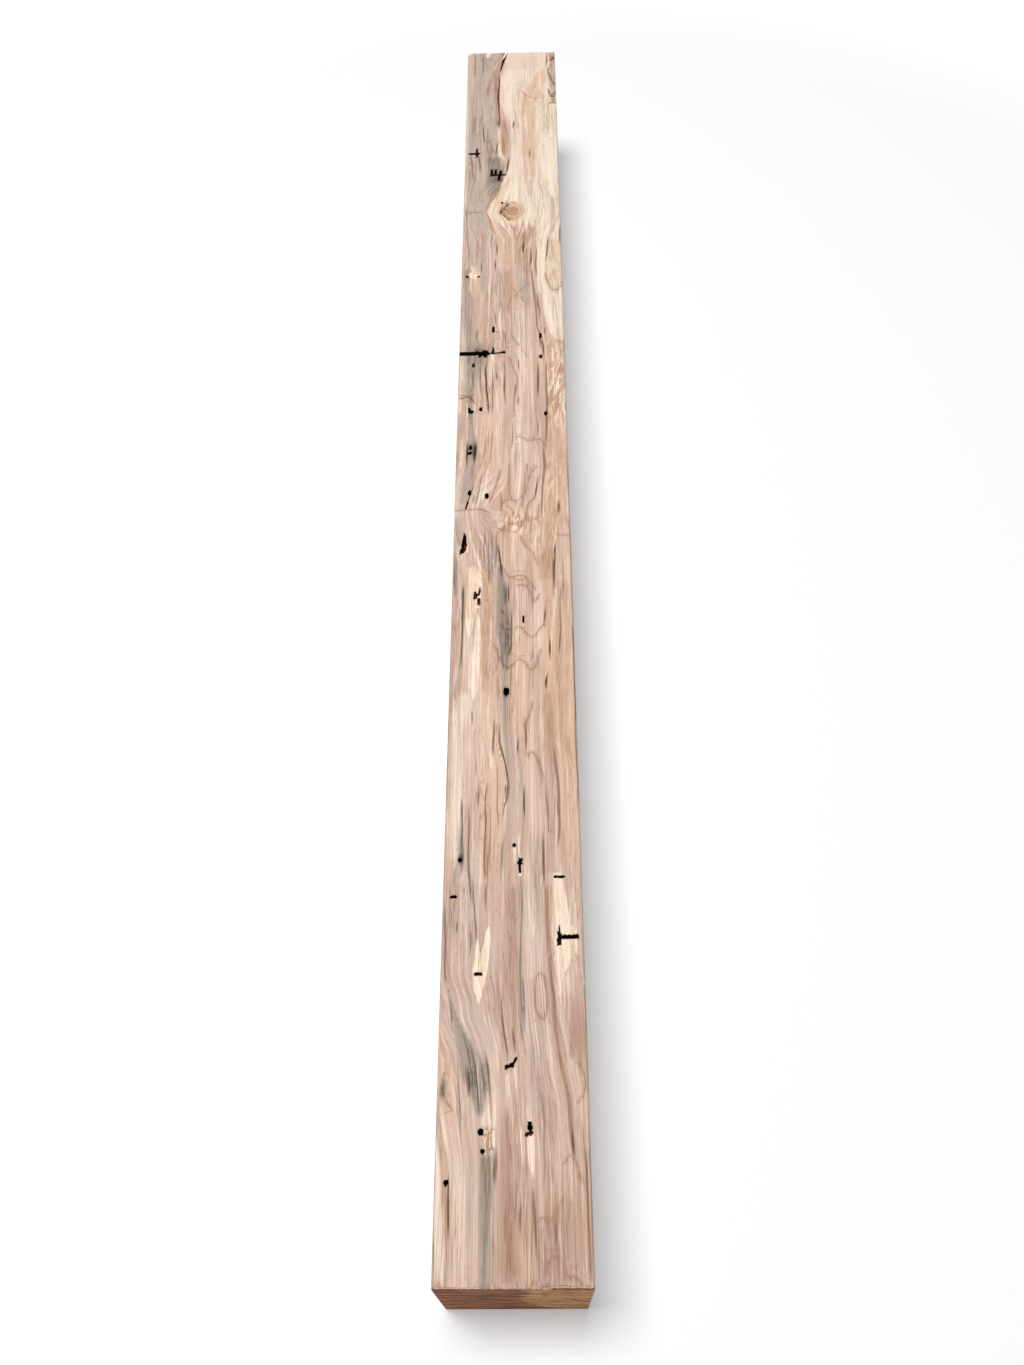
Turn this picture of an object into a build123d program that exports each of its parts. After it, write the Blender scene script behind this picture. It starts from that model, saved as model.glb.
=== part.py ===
from build123d import *
import os

# Reclaimed maple timber, sawn square, in millimetres.
# Width runs along X, length along Y and depth along Z. It lies on Z = 0 with its scarred face up.
# The near end is the one at the lowest Y.

# Timber
length = 1956.0
width = 152.4
depth = 203.2
worn_edge_radius = 2.5
far_corner_radius = 6.0
near_end_ease = 0.8

# Depths of the scars
nail_hole_depth = 38.0
flat_nail_depth = 30.0
split_depth = 14.0
dent_depth = 6.0
hollow_depth = 14.0

# Saw cut that enters from the left edge of the top face
saw_cut_along = -743.0
saw_cut_reach = 43.0
saw_cut_width = 4.8
saw_cut_depth = 16.0
saw_run_out_reach = 67.0
saw_run_out_width = 2.2
saw_run_out_depth = 3.0

# Drying check that opens at the far end
check_mouth_across = 67.0
check_tip_across = 56.5
check_mouth_width = 3.4
check_length = 58.0
check_depth = 48.0

# Places on the top face are (across, along). Across counts from the left edge and along from the
# near end, and a negative number counts back from the right edge or from the far end.

# Round nail holes: across, along, diameter
nail_holes = [
    (11.7, 93.0, 4.0),
    (44.7, 139.5, 5.0),
    (46.7, 121.5, 3.2),
    (-59.2, 143.0, 4.5),
    (-62.0, 137.5, 3.0),
    (70.7, 202.5, 3.5),
    (75.2, 204.0, 4.0),
    (-74.2, 444.7, 3.3),
    (18.2, 427.5, 4.0),
    (19.7, 953.0, 3.6),
    (19.7, -924.0, 3.6),
    (18.7, -932.0, 3.2),
    (32.7, -851.5, 3.6),
    (-29.2, -861.0, 3.6),
    (21.2, -766.5, 3.0),
    (-34.7, -750.0, 3.8),
    (9.2, -579.0, 3.6),
    (26.2, -579.0, 3.2),
    (61.2, -408.0, 3.0),
]

# Holes that split along the grain: across, along, width, length
split_holes = [
    (-68.0, 419.0, 2.6, 13.0),
    (69.2, 644.5, 6.0, 9.5),
    (42.7, 948.0, 4.4, 7.0),
    (-34.7, -708.0, 2.6, 9.0),
    (49.2, -694.0, 3.0, 10.0),
    (-62.2, 749.0, 1.6, 8.0),
]

# Holes of flat cut nails, long side across the grain: across, along, length, width
flat_nail_holes = [
    (40.2, 298.5, 7.6, 2.4),
    (12.2, 384.3, 6.6, 2.4),
    (-26.2, 407.0, 14.0, 2.2),
    (-17.0, 338.3, 19.5, 2.8),
]

# Crushed bar at the inner end of the last flat nail hole, which makes it a T
crushed_bar = (-26.6, 338.0, 4.2, 14.0)

# Dents from a hammer claw: across, along, length across, width along
claw_dents = [
    (16.7, -283.0, 15.0, 3.6),
    (19.2, -284.0, 3.4, 13.0),
    (47.2, -335.0, 10.0, 11.0),
    (57.0, -341.0, 5.0, 24.0),
]

# Splintered hollow beside the left edge, and the smaller one that a pulled nail tore out
splintered_hollow = [
    (14.2, 885.0),
    (17.0, 874.0),
    (19.6, 858.0),
    (15.6, 856.0),
    (9.6, 853.0),
    (11.6, 868.0),
]
pulled_nail_hollow = [
    (28.2, 782.0),
    (31.2, 772.0),
    (36.6, 773.0),
    (35.6, 786.0),
    (37.0, 794.0),
    (30.6, 792.0),
]


def x_across(across):
    """X of a place across the top face."""
    edge = width / 2 if across < 0 else -width / 2
    return edge + across


def y_along(along):
    """Y of a place along the top face."""
    end = length / 2 if along < 0 else -length / 2
    return end + along


def on_top(across, along):
    """The location of a place on the top face."""
    return Location((x_across(across), y_along(along), depth))


def squared_timber():
    """The sawn timber with its long edges and far end worn round and its near end freshly cut."""
    timber = Box(width, length, depth, align=(Align.CENTER, Align.CENTER, Align.MIN))
    far_corners = timber.edges().filter_by(Axis.Z).group_by(Axis.Y)[-1]
    timber = fillet(far_corners, far_corner_radius)
    for face in (timber.faces().sort_by(Axis.Z)[0], timber.faces().sort_by(Axis.Z)[-1]):
        near_edge = face.edges().sort_by(Axis.Y)[0]
        rim = [edge for edge in face.edges() if edge != near_edge]
        timber = fillet(timber.edges().filter_by(lambda edge: edge in rim), worn_edge_radius)
    near_face = timber.faces().sort_by(Axis.Y)[0]
    return chamfer(near_face.edges(), near_end_ease)


def round_holes():
    """Holes left by round nails."""
    return [
        on_top(across, along) * Cylinder(diameter / 2, 2 * nail_hole_depth)
        for across, along, diameter in nail_holes
    ]


def grain_splits():
    """Nail holes drawn out along the grain, with round ends."""
    return [
        on_top(across, along) * extrude(SlotOverall(long, wide, rotation=90), split_depth, both=True)
        for across, along, wide, long in split_holes
    ]


def flat_holes():
    """Holes left by flat cut nails, and the crushed bar of the T."""
    holes = [
        on_top(across, along) * Box(long, wide, 2 * flat_nail_depth)
        for across, along, long, wide in flat_nail_holes
    ]
    across, along, wide, long = crushed_bar
    return holes + [on_top(across, along) * Box(wide, long, 2 * dent_depth)]


def dents():
    """Shallow dents where nails were levered out."""
    return [
        on_top(across, along) * Box(wide, long, 2 * dent_depth)
        for across, along, wide, long in claw_dents
    ]


def hollow(outline):
    """A hollow whose rim is an outline of places on the top face."""
    rim = [(x_across(across), y_along(along)) for across, along in outline]
    face = make_face(Polyline(*rim, close=True))
    return Location((0, 0, depth)) * extrude(face, hollow_depth, both=True)


def saw_cut():
    """The saw cut from the left edge, and the shallow run-out past its inner end."""
    left = x_across(0)
    cut = Box(2 * saw_cut_reach, saw_cut_width, 2 * saw_cut_depth)
    run_out = Box(2 * saw_run_out_reach, saw_run_out_width, 2 * saw_run_out_depth)
    place = Location((left, y_along(saw_cut_along), depth))
    return [place * cut, place * run_out]


def end_check():
    """The drying check: widest and deepest at the far end, and down to nothing at its tip."""
    end = length / 2
    mouth = x_across(check_mouth_across)
    half_mouth = check_mouth_width / 2
    plan = Polyline(
        (mouth - half_mouth, end),
        (mouth + half_mouth, end),
        (x_across(check_tip_across), end - check_length),
        close=True,
    )
    side = Polyline(
        (0, end, depth),
        (0, end, depth - check_depth),
        (0, end - check_length, depth),
        close=True,
    )
    seen_from_above = extrude(make_face(plan), 2 * depth)
    seen_from_beside = extrude(make_face(side), width, both=True, dir=(1, 0, 0))
    return seen_from_above & seen_from_beside


def maple_board():
    """The whole timber, which is one piece of wood."""
    board = squared_timber()
    scars = round_holes() + grain_splits() + flat_holes() + dents() + saw_cut()
    scars += [hollow(splintered_hollow), hollow(pulled_nail_hollow), end_check()]
    for scar in scars:
        board -= scar
    return board


board = maple_board()
os.makedirs("parts", exist_ok=True)
export_step(board, "parts/maple_board.step")
print(f"maple_board: {len(board.solids())} solid, {board.volume / 1e9:.5f} cubic metres")
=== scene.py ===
"""The looks of a reclaimed maple timber: worn skin, scars and weathered grain, on a pale studio floor."""

import math
from functools import partial

import bpy
import numpy as np
from bpy.props import FloatProperty, FloatVectorProperty, PointerProperty
from mathutils import Matrix, Vector


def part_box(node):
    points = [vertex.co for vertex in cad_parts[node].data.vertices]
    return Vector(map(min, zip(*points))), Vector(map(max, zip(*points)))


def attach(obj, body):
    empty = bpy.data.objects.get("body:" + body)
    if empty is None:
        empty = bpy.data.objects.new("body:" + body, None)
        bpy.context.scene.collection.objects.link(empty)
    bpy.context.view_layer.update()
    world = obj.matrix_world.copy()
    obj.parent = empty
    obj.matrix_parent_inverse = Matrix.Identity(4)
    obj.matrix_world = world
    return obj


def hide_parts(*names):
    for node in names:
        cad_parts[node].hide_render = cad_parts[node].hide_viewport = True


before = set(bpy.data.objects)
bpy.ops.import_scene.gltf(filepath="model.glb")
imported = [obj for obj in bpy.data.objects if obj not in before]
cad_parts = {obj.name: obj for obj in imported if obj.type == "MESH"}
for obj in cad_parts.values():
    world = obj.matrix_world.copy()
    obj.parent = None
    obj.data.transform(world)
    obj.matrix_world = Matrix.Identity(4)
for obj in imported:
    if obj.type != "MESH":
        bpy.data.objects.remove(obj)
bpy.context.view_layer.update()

bl_info = {
    "name": "Reclaimed timber",
    "version": (1, 0, 0),
    "blender": (4, 5, 0),
    "location": "3D View > Sidebar > Timber",
    "description": "Builds the skin of a reclaimed maple timber and the stage that it lies on",
    "category": "Object",
}

MM = 0.001
NODE = "maple_board"
lowest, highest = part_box(NODE)
WIDTH, LENGTH, DEPTH = ((high - low) / MM for low, high in zip(lowest, highest))

# A place on the skin is (across, along) in millimetres. Across counts from the centre line of the top
# face, to the right, and past an edge it carries on down the side. Along counts from the near end.
# The marks below were placed one by one.

# Scars with round ends: across and along, the same of the other end where a scar is long, width, depth
NAIL = 38.0
FLAT_NAIL = 30.0
SPLIT = 14.0
DENT = 6.0
SCARS = [
    (-64.5, 93, 4, NAIL), (-31.5, 139.5, 5, NAIL), (-29.5, 121.5, 3.2, NAIL), (17, 143, 4.5, NAIL),
    (13.8, 137.2, 18.4, 138.6, 2.6, DENT), (-5.5, 202.5, 3.5, NAIL), (-1, 204, 4, NAIL),
    (0.5, 205.5, 3.2, 209.5, 1.6, DENT), (2, 444.7, 3.3, NAIL), (-58, 427.5, 4, NAIL),
    (-56.5, 951.5, -56.5, 954.5, 3.6, NAIL), (-56.5, 1031, -56.5, 1033, 3.6, NAIL),
    (-58.6, 1023.6, -56, 1024.4, 3, NAIL), (-43.5, 1103.1, -43.5, 1105.9, 3.6, NAIL),
    (47, 1094, 47, 1096, 3.6, NAIL), (-55, 1188.1, -55, 1190.9, 3, NAIL),
    (41.5, 1205.2, 41.5, 1206.8, 3.8, NAIL), (-67, 1377, 3.6, NAIL), (-50, 1377, 3.2, NAIL),
    (-15, 1548, 3, NAIL), (8.4, 413.8, 8.2, 421, 1.8, SPLIT), (7.6, 423.6, 9.4, 426.4, 3, SPLIT),
    (7.4, 422.6, 10.2, 422.8, 1.4, DENT), (-7, 642.8, -7, 646.2, 6, SPLIT),
    (-33.5, 946.7, -33.5, 949.3, 4.4, SPLIT), (41.5, 1244.8, 41.5, 1251.2, 2.6, SPLIT),
    (-27, 1258.5, -27, 1265.5, 3, SPLIT), (14, 745.8, 14, 752.2, 1.6, SPLIT),
    (-38.6, 298.5, -33.4, 298.5, 2.4, FLAT_NAIL), (-66.1, 384.3, -61.9, 384.3, 2.4, FLAT_NAIL),
    (46.6, 407.2, 55.9, 406.8, 1.9, FLAT_NAIL), (51.4, 338.1, 66.8, 338.4, 3.4, FLAT_NAIL),
    (49.8, 342.6, 50.4, 334, 2.8, DENT), (49, 335.4, 50.2, 332.4, 3, DENT),
    (-65.4, 1673, -53.6, 1673, 3.4, DENT), (-57, 1668.2, -57, 1677.6, 3, DENT),
    (-32, 1616.5, -31.6, 1626, 3.6, DENT), (-26.4, 1617, -25.8, 1626, 3.4, DENT),
    (-21, 1606, -17.5, 1626, 3.2, DENT), (-31, 1617.5, -11, 1618.2, 2.4, DENT / 2),
    (-60.8, 928.2, -58.6, 937, 1.6, DENT / 2),
]

# Hollows: depth, then across and along of each point of the rim. They are the wedge-shaped one, three of
# a pulled nail, a torn one, two shallow run-outs of the saw cut, and the saw cut from the left side.
SAW_CUT_DEPTH = 16.0
SAW_CUT_DOWN_SIDE = 26.0
HOLLOWS = [
    (14, -62, 884.5, -60.2, 881, -59.8, 875, -59, 866, -60.2, 859.5, -61.2, 856.2, -62.5, 854, -66.4, 853.2,
     -67, 856.5, -64.6, 860.5, -65, 867, -63.6, 876),
    (5, -43.6, 781, -43.2, 773, -40.4, 772, -40.2, 780, -41.4, 782),
    (5, -48.4, 781.6, -44, 782.4, -44.4, 787, -41, 786.8, -40.8, 789.4, -45.6, 789, -45.8, 792.6, -47.6,
     791.4),
    (4, -42.6, 791, -40.2, 790.6, -40, 794.6, -41.6, 794.4),
    (8, -60.2, 1098.5, -57.8, 1096.8, -54, 1098.2, -53.4, 1101.4, -57, 1101.8, -59.4, 1107.6, -60.8, 1105),
    (3, -29.6, 1213, -28.6, 1217.4, -27.4, 1222, -25.6, 1221.4, -25.4, 1216.6, -26.8, 1213.4),
    (2.4, -27.6, 1212.2, -25.6, 1213.2, -17, 1213.9, -9.4, 1213.6, -9.2, 1216.4, -12, 1217.6, -17, 1215.4,
     -25.4, 1214.6),
    (SAW_CUT_DEPTH, -120, 1216, -52, 1216, -50.2, 1217.8, -48, 1216.2, -43, 1216.2, -41, 1218.6, -38,
     1219.8, -35.4, 1218.4, -33.6, 1215.2, -31, 1213.6, -33, 1211.6, -35.6, 1211, -37, 1206.2, -39, 1205.4,
     -40.6, 1210.4, -43.6, 1210.6, -45, 1206, -46.8, 1206.4, -47.6, 1210.4, -120, 1210.4),
]

# Drying check that opens at the far end, wedge-shaped in plan and running in towards the pith
CHECK_MOUTH = -9.6
CHECK_TIP = -19.7
CHECK_WIDTH = 5.0
CHECK_LENGTH = 58.0
CHECK_DEPTH = 48.0
PITH_ACROSS = -66.0
PITH_UP = 112.0

# How far the near end's top rim is broken back: (across, distance)
BROKEN_RIM = [(-76, 2.2), (-50, 1.2), (-30, 1), (0, 0.5), (20, 0), (24, 0.9), (30, 1.5), (36, 2.6), (76, 2.3)]

# How far fibres lie to the right of where they start at the near end: along, then at six places across
LEAN_ACROSS = (-72, -42, -12, 18, 45, 72)
LEAN = [
    (100, 0, 0, 0, 0, 0, 0), (165, -9, -7, -3, -2, -3, -2), (205, -16, -9, -5, -5, -11, -4),
    (262, -31, -22, -12, -11, -17, -9), (300, -38, -28, -13, -13, -20, -11),
    (400, -39, -29, -13, -14, -22, -12), (520, -39, -29, -10, -13, -20, -11),
    (600, -39, -29, -15, -13, -23, -12), (790, -39, -28, -16, -12, -20, -8),
    (850, -43, -38, -19, -13, -20, -8), (922, -50, -45, -18, -15, -21, -8),
    (926, -50, -45, -22, -15, -21, -8), (1000, -38, -30, -11, -13, -19, -9),
    (1100, -37, -28, -12, -12, -18, -11), (1200, -40, -32, -13, -13, -19, -9),
    (1330, -40, -31, -15, -15, -24, -10), (1460, -38, -30, -16, -16, -26, -12),
    (1500, -42, -38, -27, -10, -22, -12), (1527, -45, -44, -33, -3, -19, -12),
    (1560, -43, -36, -24, -9, -21, -12), (1605, -40, -28, -8, -12, -24, -12),
    (1690, -40, -29, -7, -12, -25, -12), (1830, -41, -31, -15, -12, -22, -14),
    (1956, -41, -30, -4, -8, -20, -14),
]

# Bands that follow the fibres: strength, then across, along and width of each point, from the near end
# up. Weathered wood, mineral zones, pale streaks and sapwood, and tan zones.
GREY_BANDS = [
    (1, -26, -14, 12, -26.5, 60, 14, -26, 104, 16, -25, 126, 14),
    (0.9, -33, 146, 4, -34, 165, 12, -36, 182, 22, -40, 203, 34, -46, 220, 26, -54, 238, 14, -60, 255, 8, -63,
     266, 7, -67, 281, 5, -70, 295, 3),
    (0.8, -67, 108, 1.6, -71, 140, 2, -75, 166, 1.6),
    (0.7, -46.5, 95, 1.4, -49, 120, 2, -52, 150, 2, -55, 172, 3, -56, 195, 6),
    (0.4, -69, 158, 5, -69, 177, 9, -71, 194, 4),
    (0.8, -70, 290, 3, -70.5, 320, 2.5, -71.5, 350, 3, -73, 377, 2.5),
    (0.7, -64, 335, 4, -64, 368, 8, -64, 400, 11, -60, 414, 12, -57, 428, 9, -57, 446, 7, -56.5, 470, 4, -57,
     505, 2.5),
    (0.55, 12, 222, 3, 11, 262, 6, 9.5, 300, 5, 9, 340, 4, 10.5, 400, 5),
    (0.6, -10, 404, 6, -9, 430, 6, -6, 462, 4, -4, 490, 6, -4.5, 530, 6, -6, 560, 8, -7.5, 590, 10, -8, 620,
     11, -7.5, 650, 9, -6.5, 690, 9),
    (0.65, 9.5, 426, 4, 10.5, 442, 5, 13, 470, 5, 13.5, 492, 4, 12, 515, 4, 9, 540, 5, 7, 562, 4, 6.5, 580,
     3),
    (0.8, -67, 626, 4, -68, 642, 7, -66, 656, 6, -64, 672, 4, -62.5, 700, 3.5, -62, 740, 3.5, -61.5, 775, 4.5,
     -62, 806, 6),
    (0.95, -71, 776, 4, -71, 800, 6, -72, 835, 5, -74, 856, 3),
    (1, -7, 664, 7, -8, 690, 14, -9, 715, 18, -10, 740, 20, -11, 760, 20, -12, 780, 17, -14, 800, 12, -15.5,
     820, 8, -16.5, 842, 4),
    (0.6, -26, 806, 3, -27, 842, 4, -29, 862, 4, -31, 884, 3),
    (0.6, -70, 858, 8, -68, 885, 13, -68, 905, 15, -68, 922, 15),
    (0.8, -66, 927, 12, -63, 940, 13, -61, 960, 17, -58, 980, 19, -56, 1000, 17, -55, 1050, 12, -57, 1075, 10,
     -59, 1095, 12, -61, 1112, 14, -60, 1140, 16, -57, 1160, 22, -54, 1185, 32, -54, 1208, 36, -55, 1230, 34,
     -60, 1250, 22, -64, 1275, 20, -63, 1300, 20, -64, 1330, 17, -68, 1350, 10, -68, 1372, 10, -66, 1400, 16),
    (0.7, -70, 1045, 8, -70, 1070, 9, -66, 1100, 6),
    (0.75, -43, 1336, 8, -43, 1360, 11, -42, 1400, 12, -41, 1440, 12, -44, 1480, 10),
    (0.6, -19, 1296, 2, -19, 1322, 6, -22, 1350, 10, -20, 1375, 9, -21, 1402, 10),
    (0.55, 20, 1310, 10, 18, 1350, 16, 17, 1385, 14),
    (1, -34, 1556, 10, -30, 1580, 24, -30, 1605, 28, -28, 1630, 32, -30, 1655, 30, -33, 1672, 24),
    (0.9, -66, 1718, 5, -62, 1748, 8, -60, 1780, 8),
    (0.9, -53, 1738, 5, -51, 1762, 7, -51, 1785, 3),
    (0.6, -64, 1940, 6, -63, 1956, 6),
    (0.7, -40, 1890, 20, -38, 1930, 20, -36, 1956, 18),
    (0.4, 70, 1800, 4, 69, 1830, 9, 69, 1870, 10, 70, 1905, 8, 71, 1935, 8, 72, 1956, 8),
]
BROWN_BANDS = [
    (0.5, -64.8, 81, 1.5, -65.2, 88, 4, -64.5, 99, 5),
    (0.5, -3, 0, 22, -4, 60, 18, -6, 120, 14, -8, 168, 8),
    (0.6, -20.5, 142, 2.5, -21.5, 160, 3, -23, 180, 4, -25, 200, 5, -28, 218, 3),
    (0.75, 59.5, 110, 3, 57.5, 140, 6, 56, 165, 6.5, 53, 185, 5.5, 49, 205, 4, 46, 225, 3.6, 43.5, 250, 4.8,
     41.5, 280, 4.6, 39.5, 310, 4.2, 38, 350, 4.6, 37, 402, 5),
    (0.4, 74, 0, 4, 74.5, 60, 4, 75, 130, 3),
    (0.3, -1, 206, 8, -2, 230, 12, -2, 260, 16, -2, 300, 17, -1, 340, 14, -2, 404, 14),
    (0.45, 59, 205, 7, 63, 235, 8, 62, 262, 6, 60, 285, 3),
    (0.45, 70, 200, 4, 69, 240, 5, 67, 270, 4, 65, 292, 2),
    (0.45, 59, 348, 2, 60, 375, 5, 59, 402, 7, 56, 440, 9, 55, 475, 7),
    (0.4, 73.5, 206, 3, 73, 262, 5, 73, 300, 6, 72, 345, 5, 71, 402, 6),
    (0.4, 41, 404, 11, 43, 480, 9, 44, 540, 13, 44, 602, 14, 42, 650, 8),
    (0.25, -33, 640, 6, -33, 690, 8, -32, 720, 11, -31, 760, 12, -32, 800, 12, -34, 836, 9, -34, 880, 10, -33,
     915, 14),
    (0.35, -36, 820, 3, -38, 838, 3.4, -42, 856, 4, -47, 880, 3.4, -49, 902, 2.4),
    (0.6, -31, 930, 3, -25.5, 950, 4.5, -21, 965, 5, -17.5, 980, 5, -15, 1002, 5),
    (0.35, 44, 800, 22, 45, 850, 22, 44, 885, 18, 38, 915, 14),
    (0.45, -14, 1000, 5, -12, 1030, 7, -11, 1060, 10, -9, 1085, 8, -8, 1112, 6),
    (0.5, -6, 1288, 8, -6, 1320, 11, -4, 1350, 14, -5, 1380, 14, -3, 1402, 8),
    (0.4, 10, 1398, 14, 12, 1440, 13, 12, 1465, 10, 10, 1484, 4),
    (0.4, 20, 1435, 8, 21, 1470, 9, 22, 1486, 4),
    (0.45, 31, 1450, 8, 30, 1470, 10, 31, 1485, 8, 27, 1502, 6),
    (0.4, 62, 1476, 3, 63, 1500, 6, 64, 1530, 8, 64, 1556, 8, 63, 1568, 3),
    (0.35, -36, 1664, 16, -37, 1690, 15, -39, 1715, 8, -40, 1748, 6),
    (0.55, -10, 1662, 6, -11, 1680, 13, -12, 1710, 13, -13, 1740, 10, -14, 1768, 5),
    (0.6, -24, 1740, 6, -25, 1790, 8, -25, 1840, 9, -26, 1870, 11, -25, 1895, 10, -20, 1915, 7),
    (0.65, -43, 1821, 2.6, -42, 1840, 3.8, -41, 1862, 2.6),
    (0.4, 47, 1828, 4, 47.5, 1842, 4, 46, 1852, 2),
    (0.35, 57, 1862, 6, 57, 1886, 5),
    (0.55, 70, 1800, 5, 69, 1830, 10, 69, 1870, 11, 69, 1905, 10, 70, 1935, 10, 71, 1956, 9),
]
CREAM_BANDS = [
    (0.75, -71, 0, 13, -71, 60, 11, -73, 110, 7, -75, 138, 3),
    (0.6, -58, 38, 3, -57, 70, 4, -56, 97, 2),
    (0.5, -64, 100, 3, -66, 125, 4, -69, 150, 4, -71, 162, 2),
    (0.6, -48, 8, 1.6, -48, 27, 1.6),
    (0.9, 0, 140, 2, -1.4, 155, 5, -3, 169, 5, -5, 190, 4, -6, 206, 2),
    (0.8, 4, 176, 1.6, 2.5, 190, 2.6, 1.5, 206, 3),
    (0.8, 9.5, 103, 1.6, 10, 120, 4, 9, 135, 3.6, 7.5, 152, 2),
    (0.7, 17, 146, 4, 15, 155, 4, 13.5, 165, 2),
    (0.75, -29, 143, 5, -30, 155, 4, -31, 168, 2),
    (0.75, -23, 143, 4, -24, 155, 5, -25, 167, 3),
    (0.9, -17.5, 140, 2.6, -18, 150, 3.6, -18.5, 160, 3, -19, 168, 2),
    (0.3, 40, 20, 12, 42, 90, 16, 43, 150, 14, 40, 200, 12, 33, 236, 14),
    (0.8, 53.5, 258, 1.6, 54, 285, 3, 55, 304, 4),
    (0.8, 57, 232, 1.6, 57.5, 262, 2.6, 58, 290, 3, 58, 308, 4),
    (0.7, 63, 262, 1.4, 63, 285, 2, 64, 305, 4, 65, 322, 4),
    (0.7, 67, 343, 3, 66.5, 370, 3.4, 66, 404, 3, 64, 440, 1.6),
    (0.6, 62, 353, 2, 64, 380, 2, 65, 404, 2),
    (0.55, -66, 420, 10, -66, 460, 14, -64, 520, 16, -61, 560, 22, -60, 610, 24, -56, 650, 16),
    (0.95, 3, 420, 1.4, 2.5, 436, 2.6, 2, 449, 5),
    (1, 7.4, 430, 2.2, 7.4, 445, 2.8, 8.2, 460, 1.4),
    (0.7, -49, 640, 8, -48, 670, 10, -46, 700, 12, -46, 735, 12),
    (0.5, -57, 690, 4, -58, 720, 5, -58, 760, 6),
    (0.6, 45, 676, 1.6, 46.5, 700, 2.2, 48.5, 725, 2.8, 52, 755, 3.4, 54.5, 780, 4, 57, 804, 4),
    (0.9, -39, 790, 4, -40, 815, 4, -43, 835, 4, -47, 850, 4, -51, 865, 3.6, -54, 880, 3, -57, 897, 2.4),
    (0.6, -52, 835, 4, -55, 850, 3, -59, 880, 2.4, -60, 900, 2),
    (0.75, -40, 928, 4, -38, 945, 4, -35, 965, 3.4, -33, 985, 3, -32, 1002, 3),
    (0.55, -45, 926, 3, -43, 945, 3, -40, 970, 2.6, -38, 1002, 2),
    (0.7, -35, 928, 1.6, -34, 938, 2.4, -33, 944, 1.6),
    (0.8, 53.5, 846, 1.4, 55.5, 875, 1.8, 57.5, 895, 2.2, 59, 912, 2.4),
    (0.45, 63, 800, 14, 65, 860, 17, 67, 905, 14),
    (0.7, 73.5, 905, 3, 73.5, 940, 3, 73, 970, 2),
    (0.6, -70, 992, 6, -69, 1030, 7, -67, 1058, 4),
    (0.6, -73, 1090, 5, -73, 1140, 6, -73, 1205, 5),
    (0.75, -31, 1146, 4, -30, 1175, 7, -29.5, 1211, 9),
    (0.4, -66, 1222, 16, -65, 1250, 18, -66, 1270, 8),
    (0.6, -35, 1232, 3, -35, 1258, 3.6, -33.5, 1300, 3, -33.5, 1340, 3.6, -34, 1367, 2),
    (0.55, -22, 1260, 1.6, -26, 1285, 3, -29, 1302, 3),
    (0.85, -14, 1232, 2, -16, 1255, 3, -17, 1275, 4.6, -17, 1295, 4, -14.5, 1312, 1.8, -14, 1337, 1.6),
    (0.7, -15.5, 1343, 1.6, -15.5, 1367, 1.8),
    (0.7, -58, 1374, 3, -58, 1388, 7, -59, 1404, 5),
    (0.6, -6, 1386, 5, -7, 1394, 7, -6, 1400, 5),
    (0.45, 3, 1404, 3, 3, 1450, 4, -4, 1480, 5, -5, 1500, 4),
    (0.5, 17, 1476, 5, 17, 1495, 8),
    (0.5, -20, 1428, 1.6, -20, 1452, 2),
    (0.5, -74.5, 1540, 4, -75, 1640, 4, -75, 1760, 4, -75, 1860, 4),
    (0.75, -37, 1686, 1.4, -36.5, 1710, 3, -36, 1735, 4, -36, 1752, 2),
    (0.5, -43, 1752, 8, -42, 1775, 10, -43, 1800, 6),
    (0.9, -11, 1638, 3, -14, 1655, 4, -18, 1675, 3.6, -21, 1700, 3, -22.5, 1717, 2),
    (0.9, 72, 1882, 3, 72.5, 1890, 4, 73, 1897, 2),
]
WARM_BANDS = [
    (0.2, 56, 0, 26, 58, 40, 22, 56, 80, 12),
    (0.4, 29.5, 252, 7, 29.5, 274, 10, 29.5, 298, 7),
    (0.45, 66, 404, 18, 65, 460, 22, 65, 540, 24, 65, 604, 24, 64, 680, 24, 66, 760, 22),
    (0.4, -36, 640, 10, -34, 700, 14, -32, 760, 14, -32, 830, 12),
    (0.7, -30, 950, 2, -26, 970, 3, -23, 1000, 5, -22, 1012, 5, -22, 1060, 6),
    (0.5, 44, 800, 22, 46, 850, 20, 46, 900, 22, 56, 940, 34, 60, 1000, 30, 60, 1040, 24),
    (0.5, -14, 1458, 4, -15, 1480, 6, -15, 1500, 4),
    (0.5, 64, 1338, 14, 63, 1362, 22, 64, 1400, 26, 65, 1440, 22, 64, 1470, 12),
    (0.75, 20, 1790, 14, 34, 1820, 34, 42, 1850, 34, 50, 1880, 22, 55, 1910, 10),
    (0.35, 20, 1896, 66, 22, 1925, 84, 22, 1956, 84),
    (0.7, 34, 1604, 6, 33, 1650, 9, 33, 1690, 15, 32, 1730, 12, 31, 1770, 14, 30, 1806, 26),
    (0.6, 22, 1590, 4, 22, 1652, 6, 21, 1690, 9, 20, 1730, 6, 18, 1772, 6, 20, 1800, 10),
    (0.6, -10, 1575, 8, -6, 1600, 6, -2, 1622, 3),
    (0.6, 31, 1556, 4, 31, 1590, 6, 34, 1610, 4),
    (0.5, -11, 1655, 8, -12, 1690, 14, -13, 1730, 14, -14, 1790, 6),
    (0.45, -16, 1500, 14, -24, 1527, 16, -18, 1560, 14, -12, 1600, 10),
]
BANDS = {"grey": GREY_BANDS, "brown": BROWN_BANDS, "cream": CREAM_BANDS, "warm": WARM_BANDS}

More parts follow.
